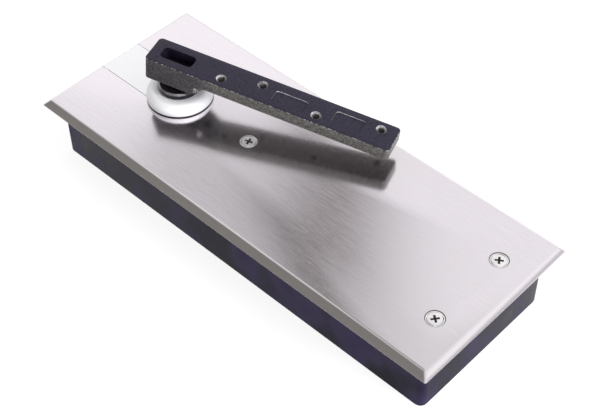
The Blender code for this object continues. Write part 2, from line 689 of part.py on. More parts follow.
def body_screws(looks):
    """Four socket screws that hold the closer body down on the case's pads."""
    head_low = EAR_TOP + SEAT_GAP
    profile = [
        (0, PAD_HOLE_FLOOR + SEAT_GAP),
        (BODY_SCREW_RADIUS, PAD_HOLE_FLOOR + SEAT_GAP),
        (BODY_SCREW_RADIUS, head_low),
        (BODY_SCREW_HEAD_RADIUS, head_low),
        (BODY_SCREW_HEAD_RADIUS, head_low + BODY_SCREW_HEAD),
        (0, head_low + BODY_SCREW_HEAD),
    ]
    for index, (x, y) in enumerate(ear_places(), 1):
        name = f"body_screw_{index}"
        screw = at(turned(name, profile, looks["zinc"], SMALL_ROUND), x, y)
        top = head_low + BODY_SCREW_HEAD
        hexagon = hex_outline(BODY_SCREW_SOCKET)
        depth = BODY_SCREW_SOCKET_DEPTH
        socket = prism(name + "_socket", hexagon, top - depth, top + depth)
        cut(screw, at(socket, x, y))


def slotted_plug(name, radius, length, place, look):
    """A short screw with a driver slot, its top just below the body's."""
    top = BODY_TOP - SEAT_GAP
    plug = at(rod(name, radius, top - length, top, look), *place)
    half = DRIVER_SLOT_WIDTH / 2
    low = (-2 * radius, -half, top - DRIVER_SLOT_DEPTH)
    slot = box(name + "_slot", low, (2 * radius, half, top + DRIVER_SLOT_DEPTH))
    return cut(plug, at(slot, *place))


def body_fittings(looks):
    """Filler plug and the two speed valves, each valve on its own axis."""
    slotted_plug("filler_plug", FILLER_RADIUS, FILLER_LENGTH, (FILLER_X, 0), looks["brass"])
    for name, side in (("sweep_valve", -1), ("latch_valve", 1)):
        slotted_plug(name, VALVE_RADIUS, VALVE_LENGTH, (VALVE_X, side * VALVE_OFFSET), looks["brass"])


# Piston, spring and adjuster

def rack_window():
    """Plan outline of the piston's window about the spindle, with the rack's teeth on its +Y side."""
    pitch = math.pi * TOOTH_MODULE
    half_tooth = pitch / 4 - FLANK_RELIEF
    slope = math.tan(PRESSURE_ANGLE)
    at_root = half_tooth + RACK_DEDENDUM * slope
    at_tip = half_tooth - TOOTH_ADDENDUM * slope
    tip = PITCH_RADIUS - TOOTH_ADDENDUM
    root = PITCH_RADIUS + RACK_DEDENDUM
    start = WINDOW_START - SPINDLE_X
    finish = WINDOW_FINISH - SPINDLE_X
    near = -TIP_RADIUS - WINDOW_END_GAP
    outline = [(start, near), (finish, near), (finish, root)]
    last = int((finish - at_root) // pitch)
    first = -int((-start - at_root) // pitch)
    for tooth in range(last, first - 1, -1):
        middle = tooth * pitch
        outline += [
            (middle + at_root, root),
            (middle + at_tip, tip),
            (middle - at_tip, tip),
            (middle - at_root, root),
        ]
    return [*outline, (start, root)]


def piston(looks):
    """The piston with its rack, two rings, and the check valve in its rear head."""
    head_middles = [(PISTON_START + WINDOW_START) / 2, (WINDOW_FINISH + PISTON_FINISH) / 2]
    ring_lows = [middle - RING_WIDTH / 2 for middle in head_middles]
    floor = PISTON_RADIUS - RING_DEPTH - SEAT_GAP
    profile = [(0, PISTON_START), (PISTON_RADIUS, PISTON_START)]
    for low in ring_lows:
        start = low - SEAT_GAP
        finish = low + RING_WIDTH + SEAT_GAP
        profile += [(PISTON_RADIUS, start), (floor, start), (floor, finish), (PISTON_RADIUS, finish)]
    profile += [(PISTON_RADIUS, PISTON_FINISH), (0, PISTON_FINISH)]
    slider = at(turned("piston", profile, looks["steel"], along_x=True), z=BORE_Z)
    window = prism("piston_window", rack_window(), -2 * PISTON_RADIUS, 2 * PISTON_RADIUS, smooth=False)
    pocket_start = PISTON_FINISH - CHECK_POCKET
    pocket_radius = CHECK_BALL_RADIUS + 2 * RUN_GAP
    passage = [
        (0, WINDOW_FINISH - WINDOW_END_GAP),
        (CHECK_PASSAGE_RADIUS, WINDOW_FINISH - WINDOW_END_GAP),
        (CHECK_PASSAGE_RADIUS, pocket_start),
        (pocket_radius, pocket_start),
        (pocket_radius, PISTON_FINISH + CHECK_POCKET),
        (0, PISTON_FINISH + CHECK_POCKET),
    ]
    passage_tool = turned("check_passage", passage, sides=SMALL_ROUND, along_x=True)
    cut(slider, at(window, SPINDLE_X, 0, BORE_Z), at(passage_tool, z=BORE_Z))
    rings = []
    for name, low in zip(("piston_ring_front", "piston_ring_rear"), ring_lows):
        rings.append(ring(name, low, PISTON_RADIUS, looks["bronze"]))
    ball_sides = arc((0, 0), CHECK_BALL_RADIUS, -math.pi / 2, math.pi, 6)[1:-1]
    ball_outline = [(0, -CHECK_BALL_RADIUS), *ball_sides, (0, CHECK_BALL_RADIUS)]
    ball = turned("check_ball", ball_outline, looks["steel"], 12, along_x=True)
    at(ball, pocket_start + CHECK_BALL_RADIUS + SEAT_GAP, 0, BORE_Z)
    nut_radius = pocket_radius - SEAT_GAP
    nut_start = PISTON_FINISH - CHECK_NUT
    nut = [
        (CHECK_PASSAGE_RADIUS, nut_start),
        (nut_radius, nut_start),
        (nut_radius, PISTON_FINISH - SEAT_GAP),
        (CHECK_PASSAGE_RADIUS, PISTON_FINISH - SEAT_GAP),
    ]
    retainer = turned("check_retainer", nut, looks["brass"], SMALL_ROUND, along_x=True)
    at(retainer, z=BORE_Z)
    hang(pivot("piston_slide", (SPINDLE_X, 0, BORE_Z)), slider, *rings, ball, retainer)


def main_spring(looks):
    """The closing spring between the piston and its seat, with a closed turn at each end."""
    wire = 2 * SPRING_WIRE_RADIUS
    start = PISTON_FINISH + SEAT_GAP + SPRING_WIRE_RADIUS
    finish = SEAT_START - SEAT_GAP - SPRING_WIRE_RADIUS
    turns = round((finish - start - 2 * wire) / SPRING_PITCH)
    pitch = (finish - start - 2 * wire) / turns
    curve = bpy.data.curves.new("main_spring", "CURVE")
    curve.dimensions = "3D"
    curve.bevel_depth = SPRING_WIRE_RADIUS
    curve.bevel_resolution = 1
    curve.use_fill_caps = True
    spline = curve.splines.new("POLY")
    count = SPRING_SIDES * (turns + 2) + 1
    spline.points.add(count - 1)
    for index in range(count):
        done = index / SPRING_SIDES
        middle = min(max(done - 1, 0), turns)
        closed = min(done, 1) + max(done - 1 - turns, 0)
        along = start + middle * pitch + closed * wire
        angle = math.tau * done
        across = SPRING_COIL_RADIUS * math.cos(angle)
        up = SPRING_COIL_RADIUS * math.sin(angle)
        spline.points[index].co = (along, across, BORE_Z + up, 1)
    made = bpy.data.objects.new("main_spring", curve)
    curve.materials.append(looks["spring"])
    bpy.context.scene.collection.objects.link(made)


def adjuster(looks):
    """The screw that sets the spring's force, and the seat that it draws along."""
    thread_start = COLLAR_START - ADJUSTER_THREAD
    head_start = REAR_PLUG_START + REAR_PLUG_LENGTH + 2 * SEAT_GAP
    profile = [
        (0, thread_start),
        (ADJUSTER_RADIUS, thread_start),
        (ADJUSTER_RADIUS, COLLAR_START),
        (ADJUSTER_COLLAR_RADIUS, COLLAR_START),
        (ADJUSTER_COLLAR_RADIUS, COLLAR_START + ADJUSTER_COLLAR),
        (ADJUSTER_RADIUS, COLLAR_START + ADJUSTER_COLLAR),
        (ADJUSTER_RADIUS, head_start + ADJUSTER_HEAD),
        (0, head_start + ADJUSTER_HEAD),
    ]
    screw = at(turned("spring_adjuster", profile, looks["steel"], SMALL_ROUND, along_x=True), z=BORE_Z)
    past = 2 * ADJUSTER_RADIUS
    for side in (-1, 1):
        near, far = sorted((side * ADJUSTER_FLATS / 2, side * past))
        low = (head_start, near, -past)
        tool = box(f"adjuster_flat_{side}", low, (head_start + 2 * ADJUSTER_HEAD, far, past))
        cut(screw, at(tool, z=BORE_Z))
    hole = ADJUSTER_RADIUS + RUN_GAP
    seat_profile = [
        (hole, SEAT_START - SEAT_PILOT),
        (SEAT_PILOT_RADIUS, SEAT_START - SEAT_PILOT),
        (SEAT_PILOT_RADIUS, SEAT_START),
        (BORE_RADIUS - RUN_GAP, SEAT_START),
        (BORE_RADIUS - RUN_GAP, SEAT_FINISH),
        (hole, SEAT_FINISH),
    ]
    at(turned("spring_seat", seat_profile, looks["steel"], along_x=True), z=BORE_Z)


# Spindle and arm

def pinion_outline():
    """Involute teeth about the spindle, with a gap centred on +Y where the rack's tooth stands."""
    base = PITCH_RADIUS * math.cos(PRESSURE_ANGLE)
    root = PITCH_RADIUS - PINION_DEDENDUM
    thickness = math.pi * TOOTH_MODULE / 2 - 2 * FLANK_RELIEF
    at_pitch = thickness / (2 * PITCH_RADIUS) + math.tan(PRESSURE_ANGLE) - PRESSURE_ANGLE
    flank = [(root, at_pitch)]
    for step in range(FLANK_STEPS + 1):
        radius = base + (TIP_RADIUS - base) * step / FLANK_STEPS
        roll = math.acos(base / radius)
        flank.append((radius, at_pitch - (math.tan(roll) - roll)))
    outline = []
    for tooth in range(PINION_TEETH):
        middle = math.pi / 2 + math.tau * (tooth + 0.5) / PINION_TEETH
        for radius, half in flank:
            outline.append((radius * math.cos(middle - half), radius * math.sin(middle - half)))
        for radius, half in reversed(flank):
            outline.append((radius * math.cos(middle + half), radius * math.sin(middle + half)))
    return outline


def spindle(looks):
    """The forged spindle: lower journal, pinion, upper journal, flange and the flat tang for the arm."""
    root = PITCH_RADIUS - PINION_DEDENDUM
    pinion_low = BORE_Z - PINION_HALF_FACE
    low = BODY_LOW + LOWER_POCKET_FLOOR + 2 * SEAT_GAP
    rack_half_height = math.sqrt(PISTON_RADIUS**2 - (PITCH_RADIUS - TOOTH_ADDENDUM) ** 2)
    thrust_low = BORE_Z + rack_half_height + RUN_GAP
    thrust_top = LEDGE_Z
    neck_low = BOSS_TOP + RUN_GAP
    inside_root = root - CORE_STEP
    profile = [
        (0, low),
        (LOWER_JOURNAL_RADIUS, low),
        (LOWER_JOURNAL_RADIUS, pinion_low - SEAT_GAP),
        (inside_root, pinion_low - SEAT_GAP),
        (inside_root, thrust_low),
        (THRUST_RADIUS, thrust_low),
        (THRUST_RADIUS, thrust_top),
        (UPPER_JOURNAL_RADIUS, thrust_top),
        (UPPER_JOURNAL_RADIUS, neck_low),
        (NECK_RADIUS, neck_low),
        (NECK_RADIUS, FLANGE_Z),
        (FLANGE_RADIUS, FLANGE_Z),
        (FLANGE_RADIUS, FLANGE_TOP - FLANGE_CHAMFER),
        (FLANGE_RADIUS - FLANGE_CHAMFER, FLANGE_TOP),
        (0, FLANGE_TOP),
    ]
    shaft = at(turned("spindle", profile, looks["spindle"]), SPINDLE_X)
    teeth = prism("pinion_teeth", pinion_outline(), pinion_low, BORE_Z + PINION_HALF_FACE, smooth=False)
    tang = rod("spindle_tang", TANG_RADIUS, FLANGE_Z + SEAT_GAP, FLANGE_TOP + TANG_HEIGHT, sides=ROUND)
    flat_low = (-FLANGE_RADIUS, -TANG_THICKNESS / 2, FLANGE_Z)
    flat_high = (FLANGE_RADIUS, TANG_THICKNESS / 2, FLANGE_TOP + 2 * TANG_HEIGHT)
    flats = at(box("tang_flats", flat_low, flat_high), SPINDLE_X, turn=ARM_ANGLE)
    add(shaft, at(teeth, SPINDLE_X), combine(at(tang, SPINDLE_X), flats, "INTERSECT"))
    return shaft


def on_arm(made):
    """Puts a piece that is drawn level about the spindle onto the leaning arm."""
    made.data.transform(Matrix.Translation((0, 0, -ROCK_Z)))
    made.location = (SPINDLE_X, 0, ROCK_Z)
    made.rotation_euler = (0, ARM_LEAN, ARM_ANGLE)
    return made


def arm(looks):
    """The cast arm under the door: a deep hub over the spindle and a thinner bar, with its screw holes."""
    slope_end = HUB_REACH + SLOPE_RUN
    outline = [
        (-ARM_BACK, ARM_TOP),
        (-ARM_BACK + HUB_DRAFT, HUB_LOW + HUB_CHAMFER),
        (-ARM_BACK + HUB_DRAFT + HUB_CHAMFER, HUB_LOW),
        (HUB_REACH, HUB_LOW),
        (slope_end, BAR_LOW),
        (ARM_REACH, BAR_LOW),
        (ARM_REACH, ARM_TOP),
    ]
    bar = side_prism("arm", outline, ARM_WIDTH / 2, looks["arm"])
    half = ARM_WIDTH / 2
    plan = rounded_rectangle((-ARM_BACK - ARM_CORNER, -half), (ARM_REACH, half), ARM_CORNER)
    combine(bar, on_arm(prism("arm_plan", plan, FLANGE_TOP, 2 * ARM_TOP)), "INTERSECT")
    long_half = SOCKET_LENGTH / 2
    wide_half = SOCKET_WIDTH / 2
    tools = [
        prism(
            "arm_socket",
            rounded_rectangle((-long_half, -wide_half), (long_half, wide_half), SOCKET_CORNER, 3),
            FLANGE_TOP,
            2 * ARM_TOP,
        )
    ]
    for index, (along, across) in enumerate(ARM_HOLES):
        above = SEAT_GAP
        sink = ARM_SINK_RADIUS
        profile = [
            (0, BAR_LOW - BAR_THICKNESS),
            (ARM_HOLE_RADIUS, BAR_LOW - BAR_THICKNESS),
            (ARM_HOLE_RADIUS, ARM_TOP - sink + ARM_HOLE_RADIUS),
            (sink + above, ARM_TOP + above),
            (0, ARM_TOP + above),
        ]
        hole = turned(f"arm_hole_{index}", profile, sides=SMALL_ROUND)
        hole.data.transform(Matrix.Translation((along, across, 0)))
        tools.append(hole)
    for index, (start, finish, near, far) in enumerate(ARM_PADS):
        pad = rounded_rectangle((start, near), (finish, far), ARM_PAD_CORNER, 2)
        tools.append(prism(f"arm_recess_{index}", pad, ARM_TOP - ARM_PAD_DEPTH, ARM_TOP + ARM_PAD_DEPTH))
    screw_start = SOCKET_LENGTH / 2 + 2 * SEAT_GAP
    screw_z = (HUB_LOW + BAR_LOW) / 2
    screw_hole = rod("set_screw_hole", SET_SCREW_RADIUS + SEAT_GAP, 0, 2 * slope_end, along_x=True)
    screw_hole.data.transform(Matrix.Translation((0, 0, screw_z)))
    tools.append(screw_hole)
    cut(on_arm(bar), *[on_arm(tool) for tool in tools])
    screw_end = screw_start + SET_SCREW_LENGTH
    screw = rod("arm_set_screw", SET_SCREW_RADIUS, screw_start, screw_end, looks["zinc"], along_x=True)
    socket = prism("set_screw_socket", hex_outline(SET_SCREW_SOCKET), 0, 2 * SET_SCREW_SOCKET_DEPTH)
    socket.data.transform(Matrix.Rotation(math.pi / 2, 4, "Y"))
    socket.data.transform(Matrix.Translation((screw_end - SET_SCREW_SOCKET_DEPTH, 0, 0)))
    for piece in (screw, socket):
        piece.data.transform(Matrix.Translation((0, 0, screw_z)))
        on_arm(piece)
    return bar, cut(screw, socket)


def main():
    for old in list(bpy.data.objects):
        bpy.data.objects.remove(old, do_unlink=True)
    looks = finishes()
    case(looks)
    screw_bridge(looks)
    cover(looks)
    collar(looks)
    closer_body(looks)
    spindle_fittings(looks)
    plugs(looks)
    body_screws(looks)
    body_fittings(looks)
    piston(looks)
    main_spring(looks)
    adjuster(looks)
    axis = pivot("spindle_axis", (SPINDLE_X, 0, 0))
    rock = pivot("rock_axis", (SPINDLE_X, 0, ROCK_Z))
    hang(rock, *arm(looks))
    hang(axis, spindle(looks), rock)


main()
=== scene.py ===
import json
import math

import bmesh
import bpy
from mathutils import Matrix, Vector


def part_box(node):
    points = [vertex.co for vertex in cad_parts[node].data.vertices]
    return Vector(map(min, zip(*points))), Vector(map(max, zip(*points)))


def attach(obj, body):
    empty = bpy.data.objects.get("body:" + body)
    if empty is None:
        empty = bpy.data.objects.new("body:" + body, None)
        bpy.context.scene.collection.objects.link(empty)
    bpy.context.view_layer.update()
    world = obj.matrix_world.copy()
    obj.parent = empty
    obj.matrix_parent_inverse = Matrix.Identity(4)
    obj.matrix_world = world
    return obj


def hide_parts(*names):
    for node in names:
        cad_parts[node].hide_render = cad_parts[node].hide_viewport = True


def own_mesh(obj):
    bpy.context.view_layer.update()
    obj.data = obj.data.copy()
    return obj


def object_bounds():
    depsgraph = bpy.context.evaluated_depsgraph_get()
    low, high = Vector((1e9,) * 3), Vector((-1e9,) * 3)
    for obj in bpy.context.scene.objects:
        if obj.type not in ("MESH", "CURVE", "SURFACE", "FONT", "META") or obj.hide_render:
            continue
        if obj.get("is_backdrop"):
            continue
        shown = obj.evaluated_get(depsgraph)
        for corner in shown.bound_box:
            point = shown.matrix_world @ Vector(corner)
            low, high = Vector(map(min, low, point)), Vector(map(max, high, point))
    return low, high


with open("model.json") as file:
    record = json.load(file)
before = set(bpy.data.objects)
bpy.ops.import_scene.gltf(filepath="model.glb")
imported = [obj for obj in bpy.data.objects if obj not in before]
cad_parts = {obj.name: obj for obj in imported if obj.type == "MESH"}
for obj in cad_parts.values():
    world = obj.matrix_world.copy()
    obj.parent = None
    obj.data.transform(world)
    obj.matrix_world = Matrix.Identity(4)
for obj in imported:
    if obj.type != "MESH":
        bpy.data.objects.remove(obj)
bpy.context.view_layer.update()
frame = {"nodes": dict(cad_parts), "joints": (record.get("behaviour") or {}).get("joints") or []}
joints = {joint["name"]: joint for joint in frame["joints"]}

# Places that the pieces are set out from, all out of the frame
plateLow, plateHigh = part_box("cover_plate")
plateHalf = (plateHigh - plateLow) / 2
plateTop = plateHigh.z
floorLevel = plateLow.z
spindleX = joints["door_swing"]["pos_m"][0]
rockPlace = Vector(joints["arm_rock"]["pos_m"])
rockAxis = joints["arm_rock"]["axis"]
armTurn = math.atan2(rockAxis[0], -rockAxis[1])
armLean = math.radians(joints["arm_rock"]["range_deg"][1])
onTang = Matrix.Translation((spindleX, 0, 0)) @ Matrix.Rotation(armTurn, 4, "Z")
onArm = (
    Matrix.Translation(rockPlace)
    @ Matrix.Rotation(armTurn, 4, "Z")
    @ Matrix.Rotation(armLean, 4, "Y")
    @ Matrix.Translation((0, 0, -rockPlace.z))
)


# Mesh helpers

def meshObject(bm, name):
    mesh = bpy.data.meshes.new(name)
    bm.to_mesh(mesh)
    bm.free()
    made = bpy.data.objects.new(name, mesh)
    bpy.context.scene.collection.objects.link(made)
    return made


def bevelEdges(bm, edges, width, steps):
    bmesh.ops.bevel(
        bm, geom=edges, offset=width, offset_type="OFFSET", segments=steps,
        profile=0.5, affect="EDGES", material=-1, clamp_overlap=True,
    )


def block(low, high):
    bm = bmesh.new()
    bmesh.ops.create_cube(bm, size=1)
    low, high = Vector(low), Vector(high)
    bmesh.ops.scale(bm, vec=high - low, verts=bm.verts)
    bmesh.ops.translate(bm, vec=(low + high) / 2, verts=bm.verts)
    return bm


def uprightEdges(bm, test=lambda point: True):
    found = []
    for edge in bm.edges:
        across = edge.verts[0].co - edge.verts[1].co
        if across.xy.length < 1e-7 and test(edge.verts[0].co):
            found.append(edge)
    return found


def roundedBlock(name, low, high, corner, steps=8):
    bm = block(low, high)
    bevelEdges(bm, uprightEdges(bm), corner, steps)
    return meshObject(bm, name)


def turned(name, profile, steps=64, closed=False, place=(0, 0, 0)):
    bm = bmesh.new()
    points = [bm.verts.new((radius, 0, height)) for radius, height in profile]
    pairs = list(zip(points, points[1:]))
    if closed:
        pairs.append((points[-1], points[0]))
    edges = [bm.edges.new(pair) for pair in pairs]
    bmesh.ops.spin(
        bm, geom=points + edges, cent=(0, 0, 0), axis=(0, 0, 1),
        angle=math.tau, steps=steps, use_merge=True,
    )
    bmesh.ops.remove_doubles(bm, verts=bm.verts, dist=1e-7)
    bmesh.ops.recalc_face_normals(bm, faces=bm.faces)
    bmesh.ops.translate(bm, vec=place, verts=bm.verts)
    return meshObject(bm, name)


def applyModifiers(piece, joinWithin, thinnest):  # and joins what they left doubled
    bpy.context.view_layer.update()
    graph = bpy.context.evaluated_depsgraph_get()
    finished = bpy.data.meshes.new_from_object(piece.evaluated_get(graph))
    piece.modifiers.clear()
    piece.data = finished
    bm = bmesh.new()
    bm.from_mesh(finished)
    bmesh.ops.remove_doubles(bm, verts=bm.verts, dist=joinWithin)
    bmesh.ops.dissolve_degenerate(bm, edges=bm.edges, dist=thinnest)
    bm.to_mesh(finished)
    bm.free()


def combine(target, tools, how="DIFFERENCE"):  # the tools are used up
    for tool in tools:
        step = target.modifiers.new("combine", "BOOLEAN")
        step.object = tool
        step.operation = how
        step.solver = "MANIFOLD"
    applyModifiers(target, 2e-6, 1e-7)
    target.data.materials.clear()  # this solver leaves an empty slot in front
    for tool in tools:
        bpy.data.objects.remove(tool)


def softenEdges(piece, width, steps=2, angle=35):
    step = piece.modifiers.new("edges", "BEVEL")
    step.limit_method = "ANGLE"
    step.angle_limit = math.radians(angle)
    step.width = width
    step.segments = steps


def settleEdges(piece):  # makes the soft edges part of the mesh
    applyModifiers(piece, 4e-6, 1e-6)


def shadeSmooth(piece, angle=35):
    piece.data.polygons.foreach_set("use_smooth", [True] * len(piece.data.polygons))
    piece.data.set_sharp_from_angle(angle=math.radians(angle))


def mergedCopy(node):  # a CAD node's mesh with its loose triangles joined
    bm = bmesh.new()
    bm.from_mesh(frame["nodes"][node].data)
    bmesh.ops.remove_doubles(bm, verts=bm.verts, dist=1e-6)
    bmesh.ops.dissolve_limit(
        bm, angle_limit=math.radians(0.5), verts=bm.verts, edges=bm.edges,
        use_dissolve_boundaries=False,
    )
    return bm


# Material helpers

def addNode(tree, kind, values=None, **settings):
    made = tree.nodes.new(kind)
    for name, value in settings.items():
        setattr(made, name, value)
    for socket, value in (values or {}).items():
        if isinstance(value, bpy.types.NodeSocket):
            tree.links.new(value, made.inputs[socket])
        else:
            made.inputs[socket].default_value = value
    return made


def newMaterial(name, metallic=0.0, specular=0.5, coat=0.0, coatRoughness=0.1):
    made = bpy.data.materials.new(name)
    made.use_nodes = True
    shader = made.node_tree.nodes["Principled BSDF"]
    shader.inputs["Metallic"].default_value = metallic
    shader.inputs["Specular IOR Level"].default_value = specular
    shader.inputs["Coat Weight"].default_value = coat
    shader.inputs["Coat Roughness"].default_value = coatRoughness
    return made, made.node_tree, shader


def noise(tree, scale, stretch=(1, 1, 1), turn=(0, 0, 0), detail=4.0, rough=0.6):
    where = addNode(tree, "ShaderNodeTexCoord")
    mapping = addNode(tree, "ShaderNodeMapping", {
        "Vector": where.outputs["Object"], "Scale": stretch, "Rotation": turn,
    })
    return addNode(tree, "ShaderNodeTexNoise", {
        "Vector": mapping.outputs["Vector"], "Scale": scale,
        "Detail": detail, "Roughness": rough,
    }).outputs["Fac"]


def ramp(tree, factor, stops, mode="LINEAR"):  # stops: place and grey or colour
    made = addNode(tree, "ShaderNodeValToRGB", {"Fac": factor})
    made.color_ramp.interpolation = mode
    while len(made.color_ramp.elements) < len(stops):
        made.color_ramp.elements.new(0.5)
    for element, (place, colour) in zip(made.color_ramp.elements, stops):
        if not isinstance(colour, tuple):
            colour = (colour, colour, colour)
        element.position = place
        element.color = (*colour, 1)
    return made.outputs["Color"]


def spread(tree, factor, low, high, start=0.3, end=0.7):
    return addNode(tree, "ShaderNodeMapRange", {
        "Value": factor, "From Min": start, "From Max": end,
        "To Min": low, "To Max": high,
    }).outputs["Result"]


def mix(tree, factor, first, second):
    made = addNode(tree, "ShaderNodeMix", data_type="RGBA")
    for socket, value in ((0, factor), (6, first), (7, second)):
        if isinstance(value, bpy.types.NodeSocket):
            tree.links.new(value, made.inputs[socket])
        elif isinstance(value, tuple):
            made.inputs[socket].default_value = (*value, 1)
        else:
            made.inputs[socket].default_value = value
    return made.outputs[2]


def math2(tree, how, first, second=0.5, third=0.0, clamp=False):
    made = addNode(tree, "ShaderNodeMath", {0: first, 1: second, 2: third},
                   operation=how, use_clamp=clamp)
    return made.outputs[0]


def bump(tree, shader, height, distance, strength=1.0):
    made = addNode(tree, "ShaderNodeBump", {
        "Height": height, "Distance": distance, "Strength": strength,
    })
    tree.links.new(made.outputs["Normal"], shader.inputs["Normal"])


def simpleFinish(name, look):  # mottled colour, uneven gloss and a fine bump
    made, tree, shader = newMaterial(
        name, look.get("metallic", 0.0), look.get("specular", 0.5),
        look.get("coat", 0.0), look.get("coatRoughness", 0.1),
    )
    stretch = look.get("stretch", (1, 1, 1))
    broad = noise(tree, look["broad"], stretch)
    fine = noise(tree, look["fine"], stretch, detail=3.0)
    tint = ramp(tree, broad, [(0.32, look["dark"]), (0.68, look["light"])])
    tree.links.new(tint, shader.inputs["Base Color"])
    gloss = spread(tree, fine, *look["gloss"])
    tree.links.new(gloss, shader.inputs["Roughness"])
    bump(tree, shader, fine, look["relief"])
    return made


# Camera
cameraSet = {
    "lens": 79.07,  # mm, on a sensor 36 mm wide
    "aim": (0.02883, -0.02140, 0.05),
    "distance": 0.8274,
    "azimuth": 43.70,
    "elevation": 47.29,
    "roll": -0.51,
}
cameraData = bpy.data.cameras.new("camera")
cameraData.sensor_width = 36
cameraData.lens = cameraSet["lens"]
cameraData.clip_start = 0.01
camera = bpy.data.objects.new("camera", cameraData)
camera.matrix_world = (
    Matrix.Translation(cameraSet["aim"])
    @ Matrix.Rotation(math.radians(cameraSet["azimuth"]), 4, "Z")
    @ Matrix.Rotation(math.radians(90 - cameraSet["elevation"]), 4, "X")
    @ Matrix.Rotation(math.radians(cameraSet["roll"]), 4, "Z")
    @ Matrix.Translation((0, 0, cameraSet["distance"]))
)
bpy.context.scene.collection.objects.link(camera)
bpy.context.scene.camera = camera
print("camera set")

# Floor and light
studio = {
    "floorSize": 8.0,
    "floorGlow": 0.82,  # keeps the floor pale right up to the case
    "sky": 1.15,
    "slant": 0.69,  # how much the overhead band turns from the plate's short side
    "band": [
        (0.08, 1.0), (0.18, 0.96), (0.25, 0.78), (0.30, 0.60), (0.38, 0.61), (0.46, 0.52),
        (0.53, 0.31), (0.575, (0.10, 0.08, 0.065)), (0.625, (0.13, 0.11, 0.095)),
        (0.66, 0.46), (0.71, 0.66), (0.76, 0.80), (0.84, 0.89), (0.92, 0.85),
    ],
    "bandScale": 2.5,  # ramp lengths in one metre of the plate
    "slantFrom": (-0.08, 0.02),  # metres along the plate, where the band starts to turn
    "backLevel": 0.97,  # behind the arm
    "backAcross": (0.0, 0.03), "backAlong": (-0.06, 0.0),
    "nearLevel": 0.82,  # at the near edge, as a share
    "nearAcross": (-0.075, -0.045),
    "overheadFrom": (0.3, 0.5),  # upward part of the direction
    "lowSide": (-0.47, -0.72, 0.50),
    "lowSideLevel": (0.20, 0.195, 0.175),
    "lowSideSpread": (0.62, 0.92),
    "horizon": 0.4,  # a darker strip just above a pale horizon
    "horizonLow": (0.04, 0.12), "horizonHigh": (0.12, 0.32),
    "lightAim": (0, 0, 0.05),
    "keyLight": {"place": (1.6, 0.3, 0.7), "size": (0.8, 0.6), "power": 34},
    "frontLight": {"place": (0.6, -1.6, 0.9), "size": (0.7, 0.5), "power": 7},
}
bm = bmesh.new()
bmesh.ops.create_grid(bm, x_segments=1, y_segments=1, size=studio["floorSize"] / 2)
floor = meshObject(bm, "floor")
floorPaper, tree, shader = newMaterial("floorPaper", specular=0.1)
shader.inputs["Roughness"].default_value = 0.9
shader.inputs["Base Color"].default_value = (0.3, 0.3, 0.3, 1)
shader.inputs["Emission Color"].default_value = (1, 1, 1, 1)
shader.inputs["Emission Strength"].default_value = studio["floorGlow"]
floor.data.materials.append(floorPaper)
floor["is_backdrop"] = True

# White all round, with one broad darker band overhead and a darker low side
world = bpy.data.worlds.new("studio")
bpy.context.scene.world = world
world.use_nodes = True
tree = world.node_tree
toward = addNode(tree, "ShaderNodeTexCoord").outputs["Generated"]
direction = addNode(tree, "ShaderNodeSeparateXYZ", {0: toward})
upward = direction.outputs[2]
steepness = math2(tree, "MAXIMUM", upward, 0.05)
cameraPlace = camera.matrix_world.translation
reach = cameraPlace.z - plateTop
# Where on the plate each direction is mirrored, seen from the camera
mirrorX = math2(tree, "DIVIDE", direction.outputs[0], steepness)
mirrorX = math2(tree, "MULTIPLY_ADD", mirrorX, reach, cameraPlace.x)
mirrorY = math2(tree, "DIVIDE", direction.outputs[1], steepness)
mirrorY = math2(tree, "MULTIPLY_ADD", mirrorY, reach, cameraPlace.y)
slant = spread(tree, mirrorX, 0.0, studio["slant"], *studio["slantFrom"])
place = math2(tree, "MULTIPLY_ADD", mirrorY, slant, mirrorX)
place = math2(tree, "MULTIPLY_ADD", place, studio["bandScale"], 0.5, clamp=True)
band = ramp(tree, place, studio["band"])
behind = math2(tree, "MULTIPLY", spread(tree, mirrorY, 0.0, 1.0, *studio["backAcross"]),
               spread(tree, mirrorX, 1.0, 0.0, *studio["backAlong"]))
band = mix(tree, behind, band, (studio["backLevel"],) * 3)
overhead = spread(tree, upward, 0.0, 1.0, *studio["overheadFrom"])
nearShare = spread(tree, mirrorY, studio["nearLevel"], 1.0, *studio["nearAcross"])
band = addNode(tree, "ShaderNodeVectorMath", {0: band, 1: nearShare},
               operation="MULTIPLY").outputs[0]
level = mix(tree, overhead, (1.0, 1.0, 1.0), band)
nearHorizon = math2(tree, "MULTIPLY", spread(tree, upward, 1.0, 0.0, *studio["horizonHigh"]),
                    spread(tree, upward, 0.0, 1.0, *studio["horizonLow"]))
level = mix(tree, nearHorizon, level, (studio["horizon"],) * 3)
side = Vector(studio["lowSide"]).normalized()
lean = addNode(tree, "ShaderNodeVectorMath", {0: toward, 1: side}, operation="DOT_PRODUCT")
lowSide = spread(tree, lean.outputs["Value"], 0.0, 1.0, *studio["lowSideSpread"])
level = mix(tree, lowSide, level, studio["lowSideLevel"])
tree.links.new(level, tree.nodes["Background"].inputs["Color"])
tree.nodes["Background"].inputs["Strength"].default_value = studio["sky"]
bpy.context.scene.view_settings.view_transform = "Standard"


def softLight(name):
    look = studio[name]
    data = bpy.data.lights.new(name, "AREA")
    data.shape = "RECTANGLE"
    data.size, data.size_y = look["size"]
    data.energy = look["power"]
    lamp = bpy.data.objects.new(name, data)
    lamp.location = look["place"]
    beam = Vector(studio["lightAim"]) - Vector(look["place"])
    lamp.rotation_euler = beam.to_track_quat("-Z", "Y").to_euler()
    lamp.visible_glossy = False  # the metal mirrors the sky only
    bpy.context.scene.collection.objects.link(lamp)


softLight("keyLight")
softLight("frontLight")
print("studio lit")

